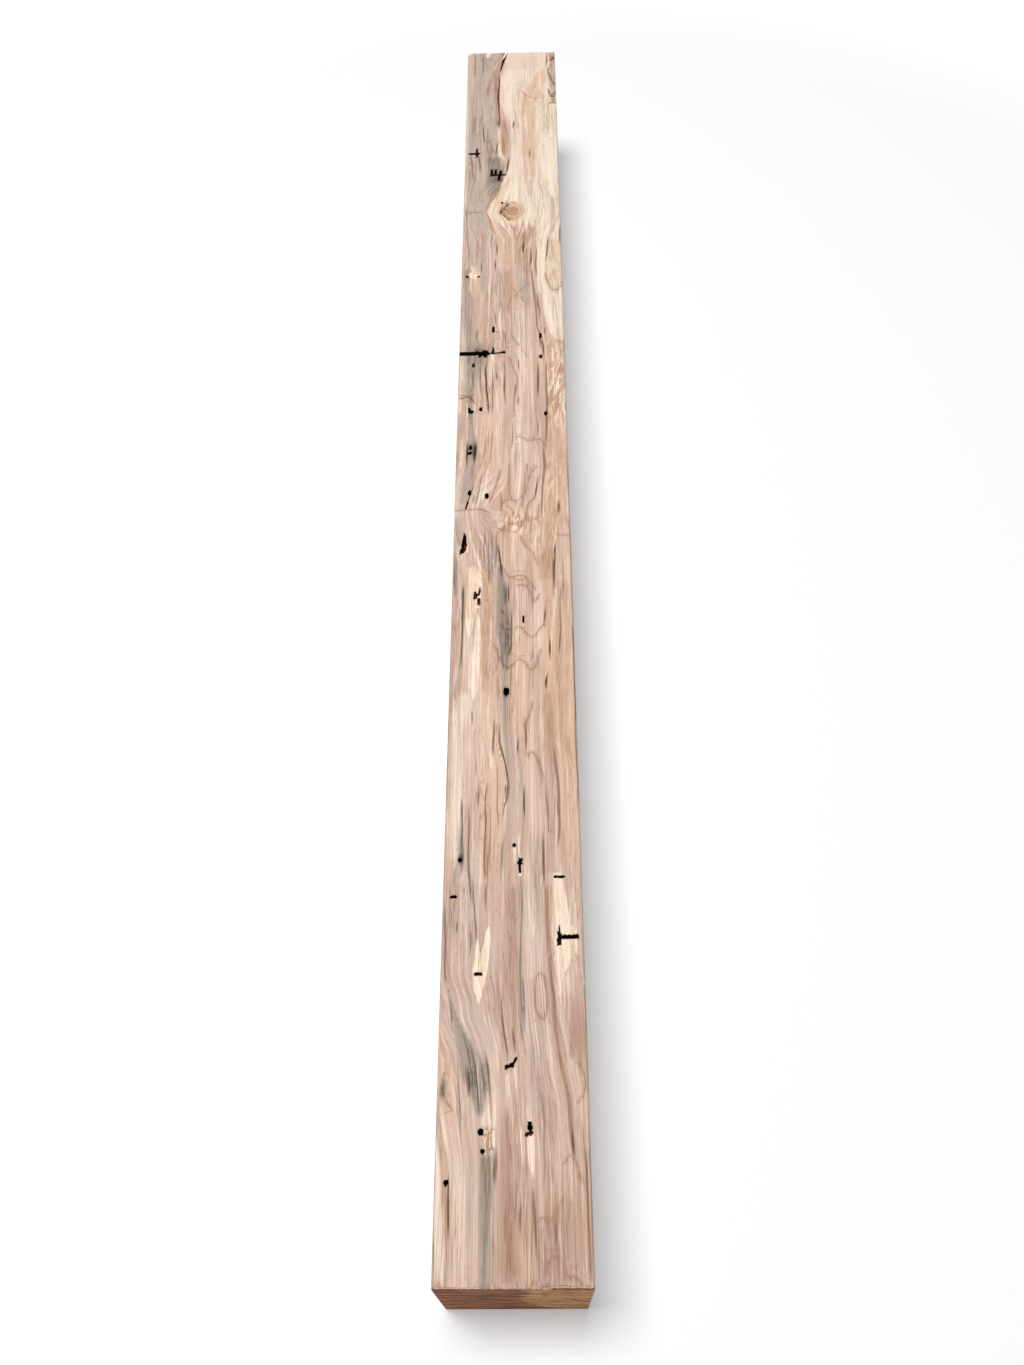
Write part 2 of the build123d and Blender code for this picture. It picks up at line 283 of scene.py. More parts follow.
# Thin streaks that follow the fibres, written in the same way
BROWN_STREAKS = [
    (0.95, -61, 40, 1.1, -61.5, 60, 1.7, -62.3, 80, 1.7, -62.5, 105, 1.3),
    (0.7, -73.5, 0, 1.6, -74.5, 30, 1.5, -75.5, 56, 1.2),
    (0.6, -17, 84, 2.5, -17.5, 100, 3.5, -16, 128, 3),
    (0.7, -44.5, 170, 1.2, -45, 185, 1.6, -47, 204, 1.3),
    (0.6, 7, 42, 1.3, 7, 60, 1.8, 7.5, 82, 1.2),
    (0.65, 22, 24, 1.3, 21.5, 50, 1.7, 20, 70, 2.6, 19, 94, 2.2),
    (0.35, 29, 80, 1.6, 31, 110, 2.2, 31, 130, 2.6, 31, 150, 2.6, 29, 165, 2.2, 26, 180, 1.6, 22, 197, 1.2),
    (0.9, 60.3, 112, 1.6, 59.2, 128, 2, 58, 146, 1.5),
    (0.6, 72, 0, 1.8, 72, 40, 2.2, 71.5, 80, 1.8, 71, 122, 1.4, 69, 152, 1.2),
    (0.7, -4, 205, 1.3, -6, 222, 1.9, -9, 240, 1.6, -11.5, 255, 1.6, -12, 280, 1.2),
    (0.8, 3.5, 212, 1.6, 2, 228, 1.9, 0, 245, 1.5),
    (0.45, -45, 316, 1.2, -44.5, 335, 1.8, -46, 354, 1.3),
    (0.55, -39, 328, 1.2, -40, 350, 1.8, -42.5, 374, 1.3),
    (0.5, -30, 368, 1.2, -29.5, 385, 1.8, -30, 404, 1.8),
    (0.7, -11.5, 474, 1.3, -9.5, 490, 1.6, -6, 499, 1.6, -4.5, 510, 1.6, -5, 525, 1.6, -7.5, 545, 1.9, -11,
     560, 2.2, -14.5, 575, 2, -15, 602, 2),
    (0.4, -12.5, 404, 2, -11, 440, 2.5, -8, 462, 2),
    (0.8, -7.8, 506, 1.6, -7.8, 521, 1.8),
    (0.55, -22, 550, 1.3, -22, 570, 2.2, -21, 590, 2.6, -21, 612, 1.6),
    (0.55, 16.5, 558, 1.6, 16.5, 580, 2.2, 16, 608, 2),
    (0.6, 51, 440, 2, 53, 470, 3, 53, 500, 3.6, 52, 520, 3.2, 50.5, 545, 2.2, 49, 577, 1.6),
    (0.6, 35, 396, 1.8, 35, 430, 2.2, 35, 460, 1.8, 36, 472, 1.2),
    (0.35, -49, 698, 1.6, -48, 720, 2.2, -46, 745, 2.2, -43.5, 766, 1.6),
    (0.85, 45.5, 686, 1.6, 46, 705, 2.2, 46.5, 727, 1.6),
    (0.8, 39.7, 644, 2.4, 40.4, 655, 2.4, 43, 674, 1.4),
    (0.6, 39, 736, 1.6, 41, 755, 2.2, 42, 772, 1.4),
    (0.5, 57, 688, 1.6, 58, 715, 2, 60, 745, 2, 61, 780, 1.8, 62, 804, 1.4),
    (0.5, -46, 596, 1.5, -47.5, 612, 1.8, -48.5, 622, 1.2),
    (0.65, 52, 780, 1.6, 52.5, 800, 2.2, 53, 820, 2.2, 54, 850, 1.6),
    (0.45, 65, 786, 1.4, 65, 808, 1.6),
    (0.45, -50, 925, 2, -46, 945, 2.6, -42, 970, 2.6, -39, 992, 2),
    (0.8, -61.5, 926, 2, -59.5, 935, 1.8, -57, 945, 1.6, -53, 958, 1.6, -50.5, 968, 1.8),
    (0.5, -52.5, 934, 1.6, -50, 952, 1.8),
    (0.5, -15, 912, 1.8, -14.5, 940, 2.2, -15.5, 962, 1.8),
    (0.8, 60.5, 912, 1.6, 61, 926, 3, 61.5, 942, 2),
    (0.6, -9, 1106, 1.6, -10.5, 1130, 2.2, -10.5, 1155, 2.6, -10, 1180, 1.8, -10, 1204, 1.6),
    (0.6, -33, 1092, 1.4, -34.5, 1120, 2, -36, 1150, 2.4, -37.5, 1175, 2.4, -38, 1192, 1.6),
    (0.6, -21, 1160, 1.6, -22, 1177, 1.6),
    (0.5, -2, 1018, 1.2, 0, 1040, 1.6, 1.5, 1060, 1.6, 2, 1088, 1.6),
    (0.8, 36, 1122, 1.8, 37, 1145, 2.8, 37, 1165, 2.8, 37, 1180, 1.8, 37.5, 1200, 1.4),
    (0.6, 45, 1030, 1.4, 48, 1070, 2.6, 48, 1090, 2.6, 49, 1130, 3, 49, 1160, 2.6, 49, 1204, 2),
    (0.55, 35.5, 1051, 1.8, 36, 1065, 2.2, 36, 1082, 1.2),
    (0.6, 38, 905, 2, 40, 960, 2, 44, 1000, 3, 42, 1040, 2),
    (0.55, 42, 1216, 2.6, 41, 1250, 2.4, 38, 1265, 2.2, 36, 1290, 2.6, 35, 1310, 2.6, 33, 1340, 2.7, 31, 1370,
     2.7, 29, 1402, 2.7),
    (0.6, 46.5, 1196, 1.6, 45, 1225, 1.6, 43, 1242, 1.6),
    (0.6, 41, 1278, 2.2, 40.5, 1300, 2.2, 39, 1320, 1.8, 37.5, 1348, 1.4),
    (0.6, 48.5, 1250, 2, 48, 1268, 2),
    (0.5, 36, 1376, 2, 36.5, 1412, 2, 37, 1440, 2),
    (0.5, -31, 1300, 1.6, -30.5, 1346, 2, -31, 1368, 2),
    (0.4, -66, 1404, 1.6, -66.5, 1440, 2.2, -68.5, 1480, 2.2, -71, 1510, 1.8, -73, 1542, 1.6),
    (0.7, 29, 1392, 2.6, 29.5, 1420, 2.6, 29, 1442, 2),
    (0.6, -23, 1422, 1.6, -23, 1440, 2.6, -22, 1454, 1.6),
    (0.6, 51.5, 1406, 2.2, 53.5, 1425, 2.2, 55, 1445, 2.2, 57, 1460, 2.6, 60, 1472, 1.8),
    (0.7, 75, 1442, 2.4, 74.5, 1470, 3.6, 75, 1498, 2.4),
    (0.8, -20.5, 1734, 2, -21, 1760, 2.8, -21, 1800, 3.2, -22, 1830, 3.2, -21, 1860, 2.8, -20.5, 1897, 2.2),
    (0.8, -9, 1610, 1.6, -7.5, 1630, 2.2, -5, 1650, 2.8, -3.6, 1668, 3),
    (0.6, 30, 1661, 2, 30, 1680, 2),
    (0.75, 59, 1906, 2.6, 60.5, 1925, 2.8, 62, 1945, 2.8, 62.5, 1956, 2.2),
    (0.6, 40, 38, 1, 41, 50, 1.5, 40.5, 60, 1),
    (0.5, 2, 46, 0.9, 3, 80, 1.1, 4.5, 104, 0.9),
    (0.7, -60.2, 342, 1.4, -60, 358, 1.5),
    (0.6, -26.6, 392, 1, -27, 420, 1.3, -26.4, 452, 0.9),
    (0.8, -30, 396, 1.3, -30.6, 430, 1.6, -30.4, 470, 1.3, -30, 526, 0.8),
    (0.6, -39.4, 484, 1, -38.6, 505, 1.5, -39.2, 534, 1),
    (0.5, -16.4, 462, 1, -16.8, 500, 1.2, -18, 548, 0.9),
    (0.8, 34.6, 396, 1.2, 34.4, 430, 1.5, 35, 462, 1.2),
    (0.7, 74.8, 486, 1.2, 75, 540, 1.6, 74.8, 640, 1.3, 74.9, 752, 1.2),
    (0.5, -2.6, 626, 1.4, -2, 660, 1.8, -1.6, 692, 1.4),
    (0.5, 24, 688, 1.2, 24.5, 701, 1.5),
    (0.85, -3.4, 770, 1.2, -4.2, 790, 1.9, -5.4, 806, 1.4),
    (0.9, 52.4, 792, 1.5, 53.4, 820, 1.9, 55, 848, 1.7, 56.4, 876, 1),
    (0.8, 29.4, 938, 1.4, 31, 950, 1.5, 33, 963, 1.3, 35, 984, 0.9),
    (0.7, 75.2, 950, 1.2, 75.4, 975, 1.5, 75.2, 1004, 1.2),
    (0.5, -40.5, 1000, 1.2, -36.5, 1030, 1.4, -35, 1062, 1),
    (0.45, -30, 1002, 1, -28, 1040, 1.4, -26.4, 1068, 1),
    (0.5, -28, 1092, 1, -27, 1150, 1.5, -28.4, 1196, 1),
    (0.8, -10.4, 1118, 1.2, -10.4, 1150, 2.2, -10.2, 1176, 1.2),
    (0.75, 9.6, 1176, 1.1, 9.8, 1206, 1.3),
    (0.6, -21, 1262, 1.2, -23.6, 1282, 1.4, -26.6, 1304, 1.2),
    (0.7, -46.4, 1382, 1.3, -45.6, 1402, 2, -45.8, 1414, 1.3),
    (0.7, -25.2, 1388, 1.2, -24.6, 1404, 1.9, -24.8, 1416, 1.2),
    (0.6, -6.5, 1290, 1, -3, 1322, 1.6, 0.8, 1340, 1.4),
    (0.8, 36.2, 1372, 1.4, 36.8, 1412, 2.2, 37.4, 1450, 1.6),
    (0.8, 17, 1426, 1.6, 17.6, 1441, 3.4, 19.4, 1458, 1.6),
    (0.75, 51.6, 1404, 1.4, 53.4, 1428, 2, 55.4, 1450, 1.6, 59, 1470, 1.2),
    (0.7, 4, 1474, 1.2, 3.6, 1490, 1.4),
    (0.7, -24.2, 1664, 1.4, -23.6, 1690, 1.8, -22.4, 1712, 1.2),
    (0.55, -34, 1790, 1.4, -33.6, 1802, 2),
    (0.6, 30, 1658, 1.6, 30.2, 1684, 1.8),
    (0.5, 75, 1768, 1.6, 75, 1786, 1.8),
]
GREY_STREAKS = [
    (0.75, -43.8, 172, 1.1, -44.6, 190, 1.6, -46.8, 208, 1.2),
    (0.7, -33.5, 150, 1.1, -35, 176, 1.4, -38, 204, 1.2, -43, 226, 0.9),
    (0.7, -27.5, 166, 1.1, -29, 188, 1.5, -33, 214, 1.1),
    (0.6, -39.5, 168, 0.9, -41, 196, 1.3, -47, 224, 1.1, -52, 244, 0.8),
    (0.7, -22.8, 168, 1.2, -24.6, 198, 1.6, -28.6, 222, 1.1),
    (0.6, -50.5, 132, 0.9, -53, 166, 1.3, -56.4, 206, 1),
    (0.6, -61.4, 236, 1.2, -63.4, 256, 1.6, -66.4, 276, 1.1),
    (0.6, -70.6, 282, 1.2, -71.2, 300, 1.5, -71.8, 330, 1.5, -73.2, 355, 1.9, -74.2, 384, 1.3),
    (0.45, 9.6, 222, 1, 8.4, 262, 1.5, 7.8, 300, 1.5, 8.8, 340, 1.3, 9.8, 376, 1.1, 9.6, 420, 0.8),
    (0.5, 12.5, 240, 0.9, 11.6, 276, 1.2, 10.8, 300, 0.8),
    (0.7, -45.2, 372, 1, -46.4, 396, 1.5, -47.8, 418, 1.5, -49, 450, 1.1, -49.2, 500, 0.8),
    (0.6, -39.4, 352, 1, -42.6, 378, 1.3, -43.4, 410, 1),
    (0.75, -56.4, 436, 1.6, -56.4, 470, 1.2, -57, 508, 0.9),
    (0.5, -24, 404, 1, -25, 450, 1.2, -24.6, 500, 0.8),
    (0.85, 14, 470, 1.2, 14, 492, 2.1, 13.4, 508, 1.9, 13, 524, 1.2),
    (0.7, 6.4, 558, 1.2, 7, 572, 1.9, 7.6, 582, 1.2),
    (0.75, -62.4, 676, 1.2, -62, 730, 1.8, -61, 775, 2.2, -61.4, 808, 1.8),
    (0.75, -3.4, 688, 1.3, -1.6, 715, 1.9, -0.6, 742, 1.7, -0.2, 768, 1),
    (0.6, -9.4, 690, 1, -8.4, 718, 1.6, -9.6, 742, 1),
    (0.6, -6.2, 700, 1, -5.2, 726, 1.5, -6.4, 748, 1),
    (0.65, -6.8, 770, 1.2, -7.4, 792, 2, -8.4, 812, 1.4),
    (0.85, -10.6, 808, 1.4, -13.2, 830, 2.2, -16, 850, 1.8, -18, 874, 1.1),
    (0.6, -29.6, 796, 1.3, -29, 840, 1.8, -30.6, 884, 1.3),
    (0.55, -25, 806, 1.1, -24.6, 850, 1.6, -27, 888, 1.1),
    (0.55, -20.6, 822, 1.1, -20, 860, 1.6, -20.6, 888, 1.1),
    (0.5, -35, 826, 1.3, -35.4, 870, 1.4, -36, 904, 1.1),
    (0.9, -57.4, 944, 1.8, -54, 956, 1.6, -50.4, 968, 1.5),
    (0.9, -61.6, 1002, 1.5, -61, 1025, 2.1, -60.4, 1048, 1.3),
    (0.9, -52, 1004, 1.6, -49.2, 1025, 2.6, -48, 1048, 1.5),
    (0.7, 3.4, 1126, 1.4, 5, 1141, 2.1, 6.4, 1153, 1.2),
    (0.8, 6.8, 1113, 1.2, 9.6, 1125, 1.7),
    (0.85, -31.4, 1090, 1.2, -33.6, 1120, 1.9, -35.6, 1150, 2.2, -37.4, 1175, 1.9, -38.2, 1196, 1.4),
    (0.6, -43.5, 1128, 1.2, -45, 1160, 1.6, -46, 1192, 1.2),
    (0.6, -54.6, 1140, 1, -55.2, 1164, 1.6, -55, 1184, 1),
    (0.6, -7.6, 1220, 1.2, -9.4, 1244, 1.6, -10, 1264, 1),
    (0.85, 47.2, 1200, 1.4, 45.2, 1225, 1.8, 42.6, 1245, 1.8),
    (0.7, -52, 1240, 1.3, -50.4, 1256, 1.7, -49.4, 1266, 1.2),
    (0.5, -32, 1430, 1.2, -31, 1460, 1.6, -30.4, 1486, 1),
    (0.9, -43.4, 1690, 1.5, -45.4, 1720, 2.1, -47.6, 1754, 1.5),
    (0.8, 3, 1738, 1.6, 3.4, 1750, 2.4, 3.2, 1762, 1.6),
    (0.5, -60.5, 1600, 1.6, -64, 1640, 2, -67, 1680, 1.6),
    (0.5, -50, 1620, 1.6, -52, 1650, 2, -56, 1690, 1.6),
    (0.45, -63, 1880, 2, -63, 1956, 2.6),
    (0.4, -50, 1880, 2, -49, 1930, 2.6, -49, 1956, 2.2),
]
STREAKS = {"streak": BROWN_STREAKS, "vein": GREY_STREAKS}

# Soft oval marks: strength, across, along, reach across, reach along. Dark stains of old iron, painted
# shade along the saw cut, rust on the walls of holes, places where less light comes back, and mottled
# places where the grain curls.
STAINS = [
    (0.75, -57.5, 429, 3.4, 9), (0.35, -57, 436, 4, 24), (0.7, -70, 180, 4.2, 11),
    (0.6, -66, 178.6, 3.8, 2.6), (0.45, -7.5, 643, 5, 11), (0.35, -9, 790, 3.4, 26), (0.3, -2.6, 716, 3, 20),
    (0.7, -55, 1029, 7.5, 19), (1, -50.8, 1027, 3.4, 23), (0.9, -60.8, 1020, 1.7, 26), (0.5, -53, 985, 3, 20),
    (0.45, -58, 1099, 5, 12), (0.55, -55, 1190, 3, 8), (0.4, -52, 1204, 14, 14), (0.4, -44, 1200, 6, 10),
    # The clouds at 1213 to 1219 along, on this line and the next, widen the saw cut's dark as painted shade.
    (0.6, -50, 1219, 8, 9), (0.5, -66, 1213.1, 20, 4.4), (0.9, -42, 1213, 9, 5.4), (0.55, -40, 1219, 8, 8),
    (0.35, -13, 1218, 6, 8), (0.4, -70, 295, 2.4, 6), (0.35, 46.8, 1086, 2.2, 10), (0.5, -47, 1735, 1.6, 18),
    (0.35, -26, 1608, 14, 14), (0.5, -16, 1605, 4, 10), (0.6, 72, 1936, 3.4, 7), (0.45, 72, 1861, 3, 6),
    (0.45, 67, 1832, 2.4, 12), (0.35, 70, 1820, 5, 12), (0.5, -16, 1912, 2.4, 16),
    (0.4, -75.5, 1308, 2.2, 12), (0.35, -75, 1282, 2, 10), (0.5, -75.5, 1020, 2.6, 9),
    (0.45, -73, 822, 2.4, 26), (0.45, -53.5, 1290, 1.4, 14), (0.95, -15.8, 1529, 2.4, 6),
    (0.45, 40.5, 1240, 2, 12), (0.35, 44.5, 1215, 1.5, 16), (0.4, -14.2, 825, 1.6, 24),
    (0.5, 3, 1750, 1.2, 8),
]
RUST = [
    (1, -36, 298.5, 6, 5), (1, 17.2, 138.2, 3.6, 2.6), (0.8, -43.5, 783, 7, 12), (0.7, -61, 872, 4, 12),
    (0.3, 46, 407, 3, 4), (0.6, -67, 1377, 3, 4), (0.8, -50, 1377, 3, 4), (0.8, 14, 749, 3, 6),
]
DULL = [
    (0.45, 45, 50, 26, 70), (0.35, 66, 235, 16, 40), (0.25, -4, 70, 14, 80), (0.2, 42, 150, 14, 50),
    (0.15, 0, 300, 30, 80), (0.25, 17, 1430, 14, 40),
]
CURLS = [
    (1, 66, 1140, 15, 80), (0.9, 60, 1215, 12, 20), (0.8, 8, 903, 26, 20), (0.5, 36, 880, 14, 30),
    (0.35, 50, 970, 18, 50), (0.5, 20, 1450, 16, 40), (0.5, 40, 1830, 24, 34),
]
CLOUDS = {"stain_and_shade": STAINS, "rust": RUST, "dull": DULL, "curl": CURLS}

# Small marks, 1.4 times as long as wide: strength, across, along, half their width. Dark spots, and
# pale flecks of lifted fibre.
SPOTS = [
    (0.6, 13, 5, 1.3), (0.6, 63.5, 62.5, 1.1), (0.7, 26, 382, 1.2), (0.7, 66, 471, 1.1), (0.7, 73, 459, 1.4),
    (0.6, 54, 432, 1.3), (0.6, 62, 433, 1.3), (0.7, 28.5, 942, 1.3), (0.6, 32, 957, 1.1),
    (0.7, 8.5, 1119, 1.4), (0.5, 9, 1101, 1.4), (0.7, 26.5, 1289, 1.4), (0.7, -7, 1283, 1.6),
    (0.8, -9, 1552, 1.3), (0.6, 34, 1042, 1.3), (0.6, 8, 1038, 1.4), (0.6, -20.5, 1245, 1.6),
    (0.7, -22, 1257, 1.7), (0.5, 39, 1535, 1.5), (0.5, 37, 1502, 1.4), (0.5, -10.5, 739, 1.6),
    (0.5, -37, 1440, 1.2), (0.6, 17, 1440, 2.2), (0.6, -32, 1563, 3), (0.5, -31, 1770, 2.4),
    (0.5, 4, 1546, 2.6), (0.6, 70, 1932, 1.8), (0.7, 73, 1938, 2), (0.6, 72, 1862, 1.8), (0.5, 54, 1206, 3.4),
    (0.5, 52, 1222, 2.4), (0.6, -37, 838, 1.4), (0.5, -58.5, 837, 1.4), (0.5, -38, 315, 1.2),
    (0.6, -75, 1225, 1.8), (0.5, -75.5, 50, 1.4), (0.6, 16.5, 120, 1.3), (0.5, -25.5, 142.5, 1.3),
    (0.5, -17, 139, 1.4), (0.4, -21, 127, 1.2), (0.5, -54.5, 1120.5, 1.6), (0.6, -71.5, 1126, 1.8),
    (0.5, -61, 1134, 1.4), (0.5, -61.5, 1087, 1.6), (0.5, -43, 1590, 1.8), (0.5, -41, 1605, 1.6),
    (0.5, 9.5, 740, 0.9), (0.45, 36, 1312, 1.6), (0.6, 43, 1311, 1.9), (0.5, -66.5, 180, 1.5),
    (0.5, -64, 176.5, 1.5),
]
FLECKS = [
    (0.9, -62, 193, 1.4), (0.7, -45, 160, 1.1), (0.6, -61.5, 160, 1), (0.7, -1, 60, 0.9),
    (0.9, -52.5, 364, 1.5), (0.7, -61, 325, 1.2), (0.6, -69, 210, 1.2), (0.6, -62, 223, 1.2),
    (0.6, -67.5, 217, 1.1), (0.9, 75, 289, 1.6), (0.7, 27, 453, 1.1), (0.6, 29, 457, 1.1),
    (0.9, 12, 431, 1.4), (0.9, 6, 452, 1), (0.7, -26.5, 722, 1.4), (0.8, 21, 890, 1.4), (0.8, 38, 935, 1.6),
    (0.8, 42.5, 915, 1.6), (0.8, 48, 981, 1.4), (0.8, 4, 914, 1.6), (0.7, 25, 908, 1.6), (0.7, 34, 865, 1.4),
    (0.7, 53, 1050, 1.5), (0.7, 48, 1022, 1.6), (0.8, 38, 1569, 2.4), (0.8, 22, 1719, 2.4),
    (0.8, 8, 1711, 2.2), (0.7, 1, 1606, 2.4), (0.8, 60, 1515, 1.8), (0.9, -12.5, 1951, 1.8),
    (0.7, -73, 1950, 3), (0.7, 42, 1817, 2), (0.7, 8, 1812, 2), (0.8, 66, 1818, 2.4), (0.8, 41, 1360, 2),
    (0.7, 56, 3, 1.3), (0.6, 43, 31, 1.1), (0.7, 75, 742, 1.8), (0.7, 75, 702, 1.4), (0.7, 74.5, 1082, 1.5),
    (0.6, 18, 1180, 1.8), (0.6, 11, 1243, 2.2),
]
DOTS = {"brown": SPOTS, "torn": FLECKS}

# Torn and pale areas: strength, softness of the rim, how deep the wood is missing, then across and
# along of each point of the rim
TORN_PATCHES = [
    (1, 1, 0.8, -34.5, 269, -40, 281, -40.7, 292, -42, 302, -40, 312, -39.3, 325, -37.4, 339, -35.4, 325,
     -33.6, 321, -30.7, 333.6, -28.6, 343.6, -25.7, 351.4, -23.6, 336.4, -24.3, 319, -25.7, 310.7, -27, 299,
     -30, 286.4, -32, 276.4),
    (1, 0.9, 0.8, 13.5, 136, 13, 125, 14.5, 110, 17.5, 104, 19, 97, 21, 104, 21.5, 120, 21, 135, 19, 140),
    (1, 0.9, 0.8, -29, 141, -28.5, 126, -27.5, 119, -25, 116.5, -22.5, 119, -21.5, 126, -18, 125, -17, 133,
     -17.5, 141),
    (0.88, 1.2, 0.7, 44, 412, 42.5, 380, 41.5, 345, 44, 312, 47, 292, 50, 266, 52, 290, 55, 300, 60, 306, 66,
     318, 70, 332, 69, 346, 63, 352, 60, 372, 57, 392, 54, 412),
    (1, 1.4, 0.9, -55, 830, -57, 790, -58.5, 760, -57, 738, -52, 724, -49, 735, -47, 752, -44, 768, -40, 772,
     -38.2, 800, -40, 822, -46, 828, -50, 836),
    (0.45, 1.6, 0.4, -57, 745, -53, 700, -51, 665, -50, 640, -46, 632, -42, 645, -40, 675, -38.5, 705, -39,
     750, -43, 760),
    (1, 0.8, 0.6, 5.8, 414, 6.4, 410, 8.6, 407, 10.6, 410, 11.2, 420, 10.4, 428, 9.6, 426, 9.4, 414, 7.4,
     412.6, 6.8, 416),
    (1, 0.8, 0.5, -67.6, 855, -66, 851, -60, 852.4, -55.6, 856, -56, 864, -58, 873, -59.4, 876, -59, 866,
     -60.4, 858, -63, 854.4),
    (1, 0.7, 0.2, -63.4, 1088, -61.8, 1088, -61.2, 1105, -61.8, 1120, -63.4, 1112),
    (0.9, 0.8, 0.2, -53.4, 1103, -50.6, 1101, -50, 1118, -50.4, 1131, -52.6, 1118),
    (0.9, 1.2, 0.2, -20.4, 1876, -17.8, 1877, -17.2, 1894, -19.6, 1893),
    (0.8, 1, 0.2, -29, 1908, -26.6, 1910, -24, 1938, -26.4, 1926),
    (1, 1.4, 0.2, -43.4, 1941, -39, 1943, -34, 1956, -43, 1956),
    (0.8, 1.2, 0.2, 63, 1912, 65.4, 1914, 67.4, 1956, 64.4, 1956),
    (0.8, 1, 0.5, -31.5, 1212, -30, 1206, -28, 1198, -25.6, 1200, -25.4, 1211),
    (0.9, 1, 0.5, -67, 1381, -63, 1383, -52, 1382, -47, 1380, -52, 1376, -55, 1372, -62, 1374),
]

# Wide zones: kind, strength, softness of the rim, then across and along of each point of the rim
ZONES = [
    ("cream", 0.85, 2, -10, 1492, -20, 1496, -28, 1511, -34, 1526, -32, 1545, -24, 1557, -19, 1575, -15.5,
     1600, -8, 1625, -3, 1660, -1, 1700, -4, 1740, -9, 1768, -15, 1790, -19, 1812, -19, 1880, -14, 1905, -6,
     1960, 90, 1960, 90, 1560, 60, 1480, 56, 1465, 50, 1400, 46, 1340, 42, 1336, 38, 1362, 40, 1384, 37, 1405,
     39, 1432, 37, 1455, 39, 1478, 35, 1492, 31, 1484, 27, 1503, 22, 1480, 18, 1506, 12, 1484, 8, 1508, 3,
     1478, 0, 1500, -5, 1474, -7, 1502),
    ("cream", 1, 3, 45, 1345, 46, 1300, 51, 1272, 57, 1252, 64, 1240, 90, 1236, 90, 1345, 76, 1352, 72, 1347,
     64, 1341, 58, 1349, 53, 1364, 50, 1385, 50, 1410, 46, 1440),
    ("cream", 0.85, 2, 52, 1366, 57, 1352, 64, 1344, 72, 1350, 90, 1358, 90, 1560, 62, 1480, 57, 1466, 53,
     1430, 51, 1400),
    ("cream", 0.35, 5, -8, 985, -6, 1100, 0, 1200, 2, 1300, 30, 1310, 34, 1220, 34, 1090, 20, 1000, 10, 930),
    ("cream", 0.3, 5, 16, 420, 18, 555, 34, 520, 36, 420, 34, 300, 14, 290),
    ("grey", 0.5, 2.5, -72, 1400, -38, 1396, -36, 1440, -33, 1470, -37, 1500, -41.5, 1526, -38, 1549, -30,
     1560, -72, 1560),
    ("grey", 0.62, 2.5, -72, 1540, -38, 1549, -27, 1562, -21, 1575, -18, 1600, -10, 1622, -8, 1648, -22, 1664,
     -24, 1700, -23, 1800, -24, 1880, -20, 1905, -11, 1960, -72, 1960),
    ("rosy", 0.7, 6, 22, -9, 20, 50, 34, 70, 40, 100, 66, 60, 66, -9),
    ("rosy", 0.7, 6, -72, 250, -72, 400, -20, 400, -14, 300, -20, 200, -60, 200),
    ("rosy", 0.7, 5, 12, 150, 14, 250, 12, 460, 34, 460, 36, 300, 34, 150),
    ("rosy", 0.6, 6, 4, 1230, 4, 1390, 28, 1400, 34, 1300, 36, 1230),
    ("warm", 0.35, 8, 35, 590, 34, 800, 33, 920, 90, 920, 90, 590),
    ("brown", 1, 1, -18.6, 1526, -14, 1534, -9, 1541, -4, 1546, -3, 1542, -8, 1535, -10, 1528, -8, 1520, -3,
     1515, 3, 1512, -1.4, 1503, -6, 1510, -12, 1518),
    ("brown", 0.35, 2, 60, 1566, 61, 1530, 63, 1500, 61, 1478, 66, 1470, 71, 1500, 70, 1540, 68, 1562),
]

